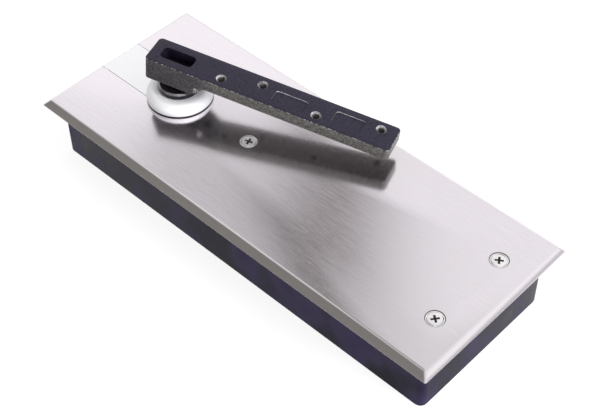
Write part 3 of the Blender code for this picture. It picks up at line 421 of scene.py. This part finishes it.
# Brushed plate metal
def brushedMetal(name, look):
    made, tree, shader = newMaterial(name, metallic=1.0)
    broad = noise(tree, look["patch"], (1, 1.6, 1), detail=2.0)
    lines = noise(tree, 1.0, look["lines"], detail=3.0, rough=0.7)
    fineLines = noise(tree, 1.0, look["fineLines"], detail=2.0)
    tone = ramp(tree, lines, [(0.3, look["dark"]), (0.7, look["light"])])
    tone = mix(tree, spread(tree, broad, 0.0, look["stain"]), tone, look["stainTint"])
    tree.links.new(tone, shader.inputs["Base Color"])
    mixed = math2(tree, "MULTIPLY_ADD", fineLines, 0.5, math2(tree, "MULTIPLY", lines, 0.5))
    gloss = spread(tree, mixed, *look["gloss"])
    tree.links.new(gloss, shader.inputs["Roughness"])
    shader.inputs["Anisotropic"].default_value = look["anisotropy"]
    tangent = addNode(tree, "ShaderNodeTangent", direction_type="UV_MAP", uv_map="grain")
    tree.links.new(tangent.outputs["Tangent"], shader.inputs["Tangent"])
    bump(tree, shader, mixed, look["relief"])
    return made


def grainMap(piece):  # the brushing runs along the plate, so the tangent runs across it
    layer = piece.data.uv_layers.new(name="grain")
    for loop in piece.data.loops:
        place = piece.data.vertices[loop.vertex_index].co
        layer.data[loop.index].uv = (place.y + place.z * 0.3, place.x + place.z * 0.2)


plateFinish = {
    "light": (0.86, 0.815, 0.865), "dark": (0.80, 0.755, 0.80),
    "patch": 9.0, "stain": 0.2, "stainTint": (0.77, 0.72, 0.73),
    "lines": (90, 1300, 1300), "fineLines": (500, 2600, 2600),
    "gloss": (0.12, 0.19), "anisotropy": 0.5, "relief": 0.0000032,
}
insertFinish = dict(plateFinish, light=(0.92, 0.91, 0.94), dark=(0.87, 0.865, 0.89),
                    stain=0.1, gloss=(0.2, 0.3), relief=0.000003)
plateMetal = brushedMetal("brushedStainless", plateFinish)
insertMetal = brushedMetal("insertStainless", insertFinish)

# Cover plate and insert: a pressed sheet with a 45 degree rim
plate = {
    "sheet": 0.0015, "bend": 0.0012, "lip": 0.00025,
    "slotHalf": 0.01655, "insertHalf": 0.01625, "spindleHole": 0.0126,
    "sink": 0.0064, "sinkDeep": 0.0034, "edge": 0.00018,
}
paintedGapShade = simpleFinish("paintedGapShade", {  # painted shade: dark colour for the narrow gaps, where shade falls
    "light": (0.13, 0.11, 0.10), "dark": (0.05, 0.042, 0.040), "metallic": 0.3,
    "broad": 300, "fine": 900, "gloss": (0.5, 0.8), "relief": 0.00002,
})
screwPlaces = [
    tuple(sum(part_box(node), Vector()) / 2)[:2]
    for node in ("cover_screw_mid", "cover_screw_far_near", "cover_screw_far_back")
]


def rimShape(name, half, low, high, bend=0.0, lip=0.0):  # a block with 45 degree sides
    bm = block((-half.x, -half.y, low), (half.x, half.y, high))
    topPoints = [vert for vert in bm.verts if vert.co.z > (low + high) / 2]
    run = high - low
    narrow = (1 - run / half.x, 1 - run / half.y, 1)
    bmesh.ops.scale(bm, vec=narrow, verts=topPoints)
    if bend:
        under = [e for e in bm.edges if max(v.co.z for v in e.verts) < low + 1e-6]
        folds = [e for e in bm.edges if e not in under]
        bevelEdges(bm, folds, bend, 5)
        under = [e for e in bm.edges if max(v.co.z for v in e.verts) < low + 1e-6]
        bevelEdges(bm, under, lip, 2)
    return meshObject(bm, name)


def slotTool(half):
    bm = block((-0.2, -half, 0.03), (spindleX + half, half, 0.06))
    bevelEdges(bm, uprightEdges(bm, lambda point: point.x > spindleX), half * 0.9995, 32)
    return meshObject(bm, "slotTool")


def rimInside():
    wall = plate["sheet"] * math.sqrt(2)
    below = 0.001
    half = Vector((plateHalf.x - wall + below, plateHalf.y - wall + below))
    return rimShape("rimInside", half, floorLevel - below, plateTop - plate["sheet"])


def sinkTool(place):
    deep = plate["sinkDeep"]
    profile = [
        (0, -deep), (plate["sink"] - deep, -deep), (plate["sink"], 0),
        (plate["sink"], 0.001), (0, 0.001),
    ]
    return turned("sinkTool", profile, 48, place=(*place, plateTop))


coverPlate = rimShape("coverPlate", plateHalf, floorLevel, plateTop,
                      plate["bend"], plate["lip"])
combine(coverPlate, [rimInside(), slotTool(plate["slotHalf"])]
        + [sinkTool(place) for place in screwPlaces])
softenEdges(coverPlate, plate["edge"])
shadeSmooth(coverPlate)
grainMap(coverPlate)
coverPlate.data.materials.append(plateMetal)
coverPlate.data.materials.append(paintedGapShade)
for face in coverPlate.data.polygons:
    nearScrew = min((face.center.xy - Vector(place)).length for place in screwPlaces)
    if nearScrew < plate["sink"] and face.center.z < plateTop - 0.0001:
        # painted shade down in the screw sinks
        face.material_index = 1
settleEdges(coverPlate)
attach(coverPlate, "floor_box")
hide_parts("cover_plate")

insertPlate = rimShape("insertPlate", plateHalf, floorLevel, plateTop,
                       plate["bend"], plate["lip"])
combine(insertPlate, [slotTool(plate["insertHalf"])], "INTERSECT")
spindleHole = turned(
    "spindleHole",
    [(0, 0.03), (plate["spindleHole"], 0.03), (plate["spindleHole"], 0.06), (0, 0.06)],
    96, place=(spindleX, 0, 0),
)
combine(insertPlate, [rimInside(), spindleHole])
softenEdges(insertPlate, plate["edge"])
shadeSmooth(insertPlate)
grainMap(insertPlate)
insertPlate.data.materials.append(insertMetal)
settleEdges(insertPlate)
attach(insertPlate, "floor_box")
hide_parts("insert_plate")
print("cover plate and insert built")

# Cover screws
screw = {
    "head": 0.006, "shank": 0.003, "length": 0.007, "below": 0.00015, "dome": 0.00025,
    "recessWide": 0.0017, "recessSpan": 0.0072, "recessDeep": 0.0018,
    "recessTaper": (0.45, 0.7, 1),
    "rim": 0.0004, "tip": 0.0004, "edge": 0.00008,
    "ring": (0.78, 0.88),  # where dirt sits, in shares of the head's radius
    "turns": (18, 52, 33),  # degrees, how each was left when driven home
}
zincPlate = simpleFinish("zincPlate", {
    "light": (0.97, 0.95, 0.97), "dark": (0.86, 0.84, 0.86), "metallic": 0.8,
    "broad": 260, "fine": 900, "gloss": (0.3, 0.5), "relief": 0.00001,
})
ringDirt = simpleFinish("ringDirt", {
    "light": (0.90, 0.88, 0.90), "dark": (0.10, 0.085, 0.075), "metallic": 0.5,
    "broad": 210, "fine": 900, "gloss": (0.35, 0.6), "relief": 0.00001,
})


def recessArm(turn, top):
    bm = block(
        (-screw["recessSpan"] / 2, -screw["recessWide"] / 2, -screw["recessDeep"]),
        (screw["recessSpan"] / 2, screw["recessWide"] / 2, 0.001),
    )
    deepPoints = [vert for vert in bm.verts if vert.co.z < 0]
    bmesh.ops.scale(bm, vec=screw["recessTaper"], verts=deepPoints)
    bmesh.ops.rotate(bm, cent=(0, 0, 0), matrix=Matrix.Rotation(turn, 3, "Z"), verts=bm.verts)
    bmesh.ops.translate(bm, vec=top, verts=bm.verts)
    return meshObject(bm, "recessArm")


def coverScrew(name, node, place, turn):
    top = plateTop - screw["below"]
    head, shank, dome = screw["head"], screw["shank"], screw["dome"]
    rim, tip, length = screw["rim"], screw["tip"], screw["length"]
    profile = [(0, 0)] + [
        (head * share, -dome * share ** 2) for share in (0.3, 0.55, 0.78, 0.89)
    ]
    profile += [
        (head - 0.0001, -dome), (head, -dome - 0.00025), (head - 0.0001, -dome - rim),
        (shank, shank - head - rim), (shank, tip - length),
        (shank - tip, -length), (0, -length),
    ]
    made = turned(name, profile, 48, place=(*place, top))
    turn = math.radians(turn)
    tops = Vector((*place, top))
    combine(made, [recessArm(turn, tops), recessArm(turn + math.pi / 2, tops)])
    softenEdges(made, screw["edge"], 1, 40)
    shadeSmooth(made)
    made.data.materials.append(zincPlate)
    made.data.materials.append(paintedGapShade)
    made.data.materials.append(ringDirt)
    for face in made.data.polygons:
        share = (face.center.xy - Vector(place)).length / head
        if face.center.z < top - dome - 0.00012:
            # painted shade on the head's side and below it
            face.material_index = 1
        elif screw["ring"][0] < share < screw["ring"][1]:
            face.material_index = 2
    settleEdges(made)
    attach(made, "floor_box")
    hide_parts(node)


midPlace, nearPlace, backPlace = screwPlaces
midTurn, nearTurn, backTurn = screw["turns"]
coverScrew("coverScrewMid", "cover_screw_mid", midPlace, midTurn)
coverScrew("coverScrewNear", "cover_screw_far_near", nearPlace, nearTurn)
coverScrew("coverScrewBack", "cover_screw_far_back", backPlace, backTurn)
print("cover screws built")

# Collar round the spindle
collarLow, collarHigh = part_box("collar_ring")
collar = {
    "outer": (collarHigh.x - collarLow.x) / 2, "inner": 0.0126,
    "round": 0.0055, "foot": 0.0006, "lip": 0.0006, "sag": 0.0003,
}
polishedNickel = simpleFinish("polishedNickel", {
    "light": (0.97, 0.97, 1.0), "dark": (0.92, 0.92, 0.96), "metallic": 0.1,
    "coat": 0.5, "broad": 60, "fine": 500, "gloss": (0.3, 0.4), "relief": 0.000003,
})
outer, inner, curve = collar["outer"], collar["inner"], collar["round"]
foot, lip, sag = collar["foot"], collar["lip"], collar["sag"]
low, high = collarLow.z, collarHigh.z
profile = [(inner, low), (outer - foot, low), (outer, low + foot)]
for step in range(11):
    turn = math.pi / 2 * step / 10
    radius = outer - curve + curve * math.cos(turn)
    profile.append((radius, high - curve + curve * math.sin(turn)))
profile += [
    (inner + lip * 2.5, high - sag * 0.4), (inner + lip, high - sag),
    (inner + lip * 0.3, high - sag - lip * 0.3), (inner, high - sag - lip),
]
collarRing = turned("collarRing", profile, 96, True, (spindleX, 0, 0))
shadeSmooth(collarRing, 50)
collarRing.data.materials.append(polishedNickel)
collarRing.data.materials.append(paintedGapShade)
for face in collarRing.data.polygons:
    if face.center.z < collarLow.z + foot:
        # painted shade: a dark line at the collar's foot, where it meets the plate
        face.material_index = 1
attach(collarRing, "floor_box")
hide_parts("collar_ring")
print("collar built")

# Spindle: neck, flange and tang
spindle = {
    "split": 0.0472, "neck": 0.012, "flange": 0.0145, "flangeLow": 0.0560,
    "flangeHigh": 0.0603, "chamfer": 0.0011, "tangRound": 0.0104,
    "tangHalf": 0.0041, "tangHigh": 0.0743, "tangChamfer": 0.0006,
}
blackSteel = simpleFinish("blackSteel", {
    "light": (0.035, 0.030, 0.045), "dark": (0.015, 0.012, 0.020), "metallic": 0.6,
    "broad": 90, "fine": 700, "gloss": (0.18, 0.34), "relief": 0.00001,
})
neck, flange, chamfer = spindle["neck"], spindle["flange"], spindle["chamfer"]
under, over = spindle["flangeLow"], spindle["flangeHigh"]
profile = [
    (0, spindle["split"]), (neck, spindle["split"]), (neck, under - 0.0004),
    (neck + 0.0004, under), (flange - 0.0003, under), (flange, under + 0.0003),
    (flange, over - chamfer - 0.0001), (flange - 0.0001, over - chamfer),
    (flange - chamfer, over - 0.0001), (flange - chamfer - 0.0002, over), (0, over),
]
spindleTop = turned("spindleTop", profile, 96, place=(spindleX, 0, 0))
tangLow, tangHigh = over - 0.001, spindle["tangHigh"]
tangRound, tangChamfer = spindle["tangRound"], spindle["tangChamfer"]
tang = turned("tang", [
    (0, tangLow), (tangRound, tangLow), (tangRound, tangHigh - tangChamfer),
    (tangRound - tangChamfer, tangHigh), (0, tangHigh),
], 96)
tangHalf = spindle["tangHalf"]
flats = meshObject(block((-0.02, -tangHalf, 0.05), (0.02, tangHalf, 0.08)), "flats")
combine(tang, [flats], "INTERSECT")
tang.data.transform(onTang)
combine(spindleTop, [tang], "UNION")
softenEdges(spindleTop, 0.00015, 1, 50)
shadeSmooth(spindleTop)
spindleTop.data.materials.append(blackSteel)
# painted highlight: bright mottled metal on the flange chamfer
chamferHighlightSteel = simpleFinish("chamferHighlightSteel", {
    "light": (0.62, 0.60, 0.63), "dark": (0.05, 0.045, 0.055), "metallic": 0.9,
    "broad": 130, "fine": 700, "gloss": (0.2, 0.35), "relief": 0.00001,
})
spindleTop.data.materials.append(chamferHighlightSteel)
for face in spindleTop.data.polygons:
    onChamfer = over - chamfer < face.center.z < over
    if onChamfer and 0.2 < face.normal.z < 0.95:
        face.material_index = 1  # painted highlight on the flange chamfer
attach(spindleTop, "spindle_body")

bm = mergedCopy("spindle")
cut = bmesh.ops.bisect_plane(
    bm, geom=bm.verts[:] + bm.edges[:] + bm.faces[:], dist=1e-7,
    plane_co=(0, 0, spindle["split"]), plane_no=(0, 0, 1), clear_outer=True,
)
rim = [item for item in cut["geom_cut"] if isinstance(item, bmesh.types.BMEdge)]
bmesh.ops.holes_fill(bm, edges=rim)
spindleShaft = meshObject(bm, "spindleShaft")
shadeSmooth(spindleShaft)
spindleShaft.data.materials.append(blackSteel)
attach(spindleShaft, "spindle_body")
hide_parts("spindle")
print("spindle built")

# Arm, drawn level along X and then put on the tang
arm = {
    "back": -0.0194, "reach": 0.1563, "half": 0.0116, "hubLow": 0.0645,
    "barLow": 0.0731, "top": 0.0819, "hubReach": 0.016, "slopeRun": 0.0085,
    "corner": 0.003, "hubChamfer": 0.0016, "slopeRound": 0.0018, "topEdge": 0.0005,
    "socketHalf": (0.0112, 0.0045), "socketCorner": 0.0024,
    "holes": [(0.0339, -0.0040), (0.0606, 0.0040), (0.1025, -0.0045), (0.1447, 0.0046)],
    "hole": 0.0025, "sink": 0.0036,
    "pads": [(0.0707, 0.0941, -0.0068, 0.0039), (0.1130, 0.1336, -0.0056, 0.0061)],
    "padDeep": 0.0008, "padCorner": 0.002, "screwHole": 0.0028,
    "mouth": 0.0007, "mouthDeep": 0.0012, "wallSeen": 0.004,
}


def armBlank():
    bm = bmesh.new()
    slopeEnd = arm["hubReach"] + arm["slopeRun"]
    sideView = [
        (arm["back"], arm["hubLow"]), (arm["hubReach"], arm["hubLow"]),
        (slopeEnd, arm["barLow"]), (arm["reach"], arm["barLow"]),
        (arm["reach"], arm["top"]), (arm["back"], arm["top"]),
    ]
    points = [bm.verts.new((x, -arm["half"], z)) for x, z in sideView]
    sideFace = bm.faces.new(points)
    pushed = bmesh.ops.extrude_face_region(bm, geom=[sideFace])["geom"]
    pushed = [item for item in pushed if isinstance(item, bmesh.types.BMVert)]
    bmesh.ops.translate(bm, vec=(0, arm["half"] * 2, 0), verts=pushed)
    bmesh.ops.recalc_face_normals(bm, faces=bm.faces)
    bevelEdges(bm, uprightEdges(bm), arm["corner"], 8)

    def crossing(x, z):  # edges across the arm at that place
        return [
            edge for edge in bm.edges
            if all(abs(vert.co.x - x) < 1e-5 and abs(vert.co.z - z) < 1e-5
                   for vert in edge.verts)
        ]

    bevelEdges(bm, crossing(slopeEnd, arm["barLow"]), arm["slopeRound"], 5)
    bevelEdges(bm, crossing(arm["hubReach"], arm["hubLow"]), arm["hubChamfer"], 4)
    rims = [
        edge for edge in bm.edges
        if all(vert.co.z > arm["top"] - 1e-6 for vert in edge.verts)
    ]
    bevelEdges(bm, rims, arm["topEdge"], 3)
    rims = [
        edge for edge in bm.edges if len(edge.link_faces) == 2
        and edge.calc_face_angle() > math.radians(50)
        and all(vert.co.z < arm["top"] - 0.002 for vert in edge.verts)
    ]
    bevelEdges(bm, rims, arm["topEdge"] * 1.4, 3)
    return meshObject(bm, "arm")


def holeTool(x, y):
    top, hole, sink = arm["top"], arm["hole"], arm["sink"]
    return turned("holeTool", [
        (0, 0.06), (hole, 0.06), (hole, top - (sink - hole)), (sink, top),
        (sink, top + 0.002), (0, top + 0.002),
    ], 40, place=(x, y, 0))


def padTool(x0, x1, y0, y1):
    return roundedBlock("padTool", (x0, y0, arm["top"] - arm["padDeep"]),
                        (x1, y1, arm["top"] + 0.002), arm["padCorner"], 6)


armPiece = armBlank()
socketX, socketY = arm["socketHalf"]
socketTool = roundedBlock("socketTool", (-socketX, -socketY, 0.05), (socketX, socketY, 0.09),
                          arm["socketCorner"], 8)
mouthX, mouthY = socketX + arm["mouth"], socketY + arm["mouth"]
mouthTool = roundedBlock("mouthTool", (-mouthX, -mouthY, arm["top"] - arm["mouthDeep"]),
                         (mouthX, mouthY, 0.09), arm["socketCorner"] + arm["mouth"], 8)
screwZ = (arm["hubLow"] + arm["barLow"]) / 2
onScrewLine = Matrix.Translation((0, 0, screwZ)) @ Matrix.Rotation(math.pi / 2, 4, "Y")
screwHole = arm["screwHole"]
screwTool = turned("screwTool", [
    (0, 0.009), (screwHole, 0.009), (screwHole, 0.032), (0, 0.032),
], 32)
screwTool.data.transform(onScrewLine)
combine(armPiece, [socketTool, screwTool, mouthTool])
combine(armPiece, [holeTool(*hole) for hole in arm["holes"]]
        + [padTool(*pad) for pad in arm["pads"]])
for face in armPiece.data.polygons:
    x, y, z = face.center
    inMouth = abs(x) < mouthX + 0.0001 and abs(y) < mouthY + 0.0001
    cutWall = z > arm["top"] - arm["wallSeen"] and face.normal.z < 0.9
    if inMouth and z > arm["hubLow"] + 0.0003:
        face.material_index = 1  # socket
    elif cutWall and abs(y) < arm["half"] - 0.001:
        inLength = arm["back"] + 0.001 < x < arm["reach"] - 0.001
        fromHole = min(math.hypot(x - holeX, y - holeY) for holeX, holeY in arm["holes"])
        inHole = fromHole < arm["sink"] + 0.0001
        bright = inHole or face.normal.y < -0.5  # cut walls of the holes, and the pads' far walls as a painted highlight
        face.material_index = 2 if inLength and bright else 0
        if inHole and face.normal.z > 0.2:
            face.material_index = 3  # countersink, mottled with painted glints
armPiece.data.transform(onArm)
softenEdges(armPiece, 0.00022, 2, 40)
shadeSmooth(armPiece)


def castArmFinish(name, look):
    made, tree, shader = newMaterial(name, specular=look["specular"])
    where = addNode(tree, "ShaderNodeTexCoord")
    armUp = onArm.to_3x3() @ Vector((0, 0, 1))
    armAlong = onArm.to_3x3() @ Vector((1, 0, 0))
    up = addNode(tree, "ShaderNodeVectorMath", {
        0: where.outputs["Normal"], 1: tuple(armUp),
    }, operation="DOT_PRODUCT").outputs["Value"]
    along = addNode(tree, "ShaderNodeVectorMath", {
        0: where.outputs["Object"], 1: tuple(armAlong),
    }, operation="DOT_PRODUCT").outputs["Value"]
    hubEnd = (onArm @ Vector((look["hubEnd"], 0, arm["top"]))).dot(armAlong)
    grit = noise(tree, look["grit"], detail=5.0, rough=0.7)
    cloud = noise(tree, look["cloud"], detail=3.0)
    speck = noise(tree, look["speck"], detail=2.0)
    top = ramp(tree, cloud, [(0.3, look["topDark"]), (0.7, look["topLight"])])
    bare = ramp(tree, grit, [(0.35, look["castDark"]), (0.62, look["castLight"])])
    hub = ramp(tree, grit, [(0.35, look["hubDark"]), (0.65, look["hubLight"])])
    onBar = spread(tree, along, 0.0, 1.0, hubEnd - 0.005, hubEnd + 0.008)
    flank = mix(tree, onBar, hub, bare)
    topMask = spread(tree, up, 0.0, 1.0, 0.45, 0.75)
    tone = mix(tree, topMask, flank, top)
    edgeMask = math2(tree, "MULTIPLY", spread(tree, up, 0.0, 1.0, 0.3, 0.5),
                     spread(tree, up, 1.0, 0.0, 0.8, 0.95))
    wearAndGlint = math2(tree, "MULTIPLY", edgeMask, spread(tree, speck, 0.0, 1.0, 0.52, 0.62))
    # painted glint: a bright speckled spot on the hub's lower corner, in the same colour as the
    # edge wear
    glintSpot = addNode(tree, "ShaderNodeVectorMath", {
        0: where.outputs["Object"], 1: tuple(onArm @ Vector(look["glintSpot"])),
    }, operation="DISTANCE").outputs["Value"]
    glintSpot = spread(tree, glintSpot, 1.0, 0.0, *look["glintSpotReach"])
    glintSpot = math2(tree, "MULTIPLY", glintSpot, spread(tree, speck, 0.0, 1.0, 0.42, 0.55))
    wearAndGlint = math2(tree, "MAXIMUM", wearAndGlint, glintSpot)
    tone = mix(tree, wearAndGlint, tone, look["wearAndGlint"])
    tree.links.new(tone, shader.inputs["Base Color"])
    tree.links.new(spread(tree, grit, *look["gloss"]), shader.inputs["Roughness"])
    metal = math2(tree, "MULTIPLY", wearAndGlint, look["wearAndGlintMetal"])
    tree.links.new(metal, shader.inputs["Metallic"])
    relief = math2(tree, "MULTIPLY_ADD", topMask, -0.75, 1.0)
    relief = math2(tree, "MULTIPLY", relief, grit)
    bump(tree, shader, relief, look["relief"])
    return made


blackCasting = castArmFinish("blackCasting", {
    "specular": 0.35, "hubEnd": 0.024,
    "grit": 700, "cloud": 800, "speck": 520,
    # the spot below is a painted glint on the hub's lower corner; the worn colour serves edge
    # wear and this glint
    "glintSpot": (0.0190, -0.0122, 0.0692), "glintSpotReach": (0.0016, 0.0030),
    "topDark": (0.006, 0.004, 0.014), "topLight": (0.029, 0.024, 0.048),
    "castDark": (0.030, 0.028, 0.027), "castLight": (0.18, 0.175, 0.165),
    "hubDark": (0.010, 0.008, 0.014), "hubLight": (0.090, 0.082, 0.088),
    "wearAndGlint": (0.62, 0.60, 0.58), "wearAndGlintMetal": 0.8,
    "gloss": (0.35, 0.6), "relief": 0.00012,
})
socketDark = simpleFinish("socketDark", {
    "light": (0.014, 0.010, 0.022), "dark": (0.006, 0.004, 0.012), "specular": 0.2,
    "broad": 200, "fine": 700, "gloss": (0.5, 0.8), "relief": 0.00003,
})
cutMetalAndHighlight = simpleFinish("cutMetalAndHighlight", {  # bare metal where a tool went through the black; its lightness is also a painted highlight on the walls facing the camera
    "light": (0.90, 0.88, 0.90), "dark": (0.45, 0.43, 0.45), "metallic": 0.3,
    "broad": 500, "fine": 900, "gloss": (0.25, 0.45), "relief": 0.00002,
})
# painted glints: strong light and dark mottling for the countersinks
glintedSink = simpleFinish("glintedSink", {
    "light": (0.62, 0.60, 0.62), "dark": (0.012, 0.010, 0.018), "metallic": 0.3,
    "broad": 330, "fine": 900, "gloss": (0.25, 0.45), "relief": 0.00002,
})
for made in (blackCasting, socketDark, cutMetalAndHighlight, glintedSink):
    armPiece.data.materials.append(made)
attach(armPiece, "arm_body")
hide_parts("arm")

# Set screw of the arm, drawn upright and then laid along the arm
setScrew = {
    "radius": 0.0025, "start": 0.0118, "end": 0.0208, "tip": 0.0012, "tipCone": 0.0006,
    "pitch": 0.0005, "thread": 0.00018, "socket": 0.00144, "socketDeep": 0.002,
}
start, end, radius = setScrew["start"], setScrew["end"], setScrew["radius"]
profile = [(0, start), (setScrew["tip"], start), (0.0020, start + setScrew["tipCone"])]
turnsOfThread = int((end - start - 0.0012) / setScrew["pitch"])
for step in range(turnsOfThread):
    height = start + 0.0007 + step * setScrew["pitch"]
    profile.append((radius - setScrew["thread"], height))
    profile.append((radius, height + setScrew["pitch"] / 2))
profile += [(radius - 0.0003, end), (0, end)]
armSetScrew = turned("armSetScrew", profile, 32)
socket, socketEnd = setScrew["socket"], end - setScrew["socketDeep"]
keyTool = turned("keyTool", [
    (0, socketEnd), (socket, socketEnd), (socket, end + 0.001), (0, end + 0.001),
], 6)
combine(armSetScrew, [keyTool])
armSetScrew.data.transform(onArm @ onScrewLine)
shadeSmooth(armSetScrew)
armSetScrew.data.materials.append(blackSteel)
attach(armSetScrew, "arm_body")
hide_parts("arm_set_screw")
print("arm built")

# Cement case: bent sheet, painted
casePaintLook = {
    "dark": (0.002, 0.001, 0.007), "light": (0.024, 0.018, 0.048),
    "sheen": (0.80, 0.72, 1.0, 1.0),
    "patch": 24.0, "grain": 800.0, "gloss": (0.2, 0.55), "relief": 0.00002,
    "wave": 14.0, "waveHeight": 60.0,  # the sheet isn't quite flat
}


def paintFinish(name, look):
    made, tree, shader = newMaterial(name, specular=0.07)
    shader.inputs["Specular Tint"].default_value = look["sheen"]
    cloud = noise(tree, look["patch"], (1, 1, 0.8), detail=2.0)
    fine = noise(tree, look["grain"], detail=3.0)
    sheetWave = noise(tree, look["wave"], (1, 1, 0.25), detail=1.0)
    tone = ramp(tree, cloud, [(0.42, look["dark"]), (0.58, look["light"])])
    tree.links.new(tone, shader.inputs["Base Color"])
    tree.links.new(spread(tree, cloud, *look["gloss"]), shader.inputs["Roughness"])
    height = math2(tree, "MULTIPLY_ADD", sheetWave, look["waveHeight"], fine)
    bump(tree, shader, height, look["relief"])
    return made


casePaint = paintFinish("casePaint", casePaintLook)
cementCase = meshObject(mergedCopy("cement_case"), "cementCase")
shadeSmooth(cementCase)
cementCase.data.materials.append(casePaint)
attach(cementCase, "floor_box")
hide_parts("cement_case")
print("case built")

# Inner pieces keep their CAD shape
innerLooks = {
    "bodyCasting": ({
        "light": (0.30, 0.31, 0.33), "dark": (0.19, 0.20, 0.22), "metallic": 0.2,
        "broad": 40, "fine": 600, "gloss": (0.45, 0.7), "relief": 0.00008,
    }, ["closer_body"]),
    "machinedSteel": ({
        "light": (0.62, 0.61, 0.60), "dark": (0.48, 0.47, 0.46), "metallic": 1.0,
        "broad": 80, "fine": 900, "gloss": (0.2, 0.36), "relief": 0.000008,
    }, ["front_plug", "rear_plug", "piston", "check_ball", "check_retainer", "spring_seat",
        "spring_adjuster"]),
    "bronze": ({
        "light": (0.62, 0.40, 0.20), "dark": (0.46, 0.28, 0.13), "metallic": 1.0,
        "broad": 90, "fine": 700, "gloss": (0.25, 0.4), "relief": 0.00001,
    }, ["upper_bush", "lower_bush"]),
    "springSteel": ({
        "light": (0.20, 0.20, 0.22), "dark": (0.12, 0.12, 0.14), "metallic": 0.9,
        "broad": 70, "fine": 800, "gloss": (0.3, 0.45), "relief": 0.00001,
    }, ["main_spring"]),
    "sealRubber": ({
        "light": (0.030, 0.030, 0.030), "dark": (0.018, 0.018, 0.018),
        "broad": 120, "fine": 900, "gloss": (0.5, 0.7), "relief": 0.00001,
    }, ["spindle_seal", "front_plug_seal", "rear_plug_seal", "piston_ring_front",
        "piston_ring_rear"]),
    "brass": ({
        "light": (0.72, 0.56, 0.28), "dark": (0.58, 0.43, 0.19), "metallic": 1.0,
        "broad": 90, "fine": 800, "gloss": (0.2, 0.35), "relief": 0.000008,
    }, ["sweep_valve", "latch_valve", "filler_plug"]),
}
dressed = {"screw_bridge": zincPlate, "bridge_rivet_near": zincPlate,
           "bridge_rivet_back": zincPlate, "insert_bridge": zincPlate}
for number in range(1, 5):
    dressed["body_screw_%d" % number] = blackSteel
for name, (look, members) in innerLooks.items():
    made = simpleFinish(name, look)
    dressed.update({member: made for member in members})
for node, made in dressed.items():
    shape = frame["nodes"][node]
    if not shape.material_slots:
        shape.data.materials.append(made)
    for slot in shape.material_slots:
        slot.material = made
print("inner pieces finished:", len(dressed))

# Main spring: in the closer it shortens as the piston comes towards its seat; here it keeps its
# CAD coil shape
closingSpring = meshObject(mergedCopy("main_spring"), "closingSpring")
shadeSmooth(closingSpring, 60)
closingSpring.data.materials.append(dressed["main_spring"])
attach(closingSpring, "floor_box")
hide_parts("main_spring")
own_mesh(closingSpring)
print("closing spring built")

low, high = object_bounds()
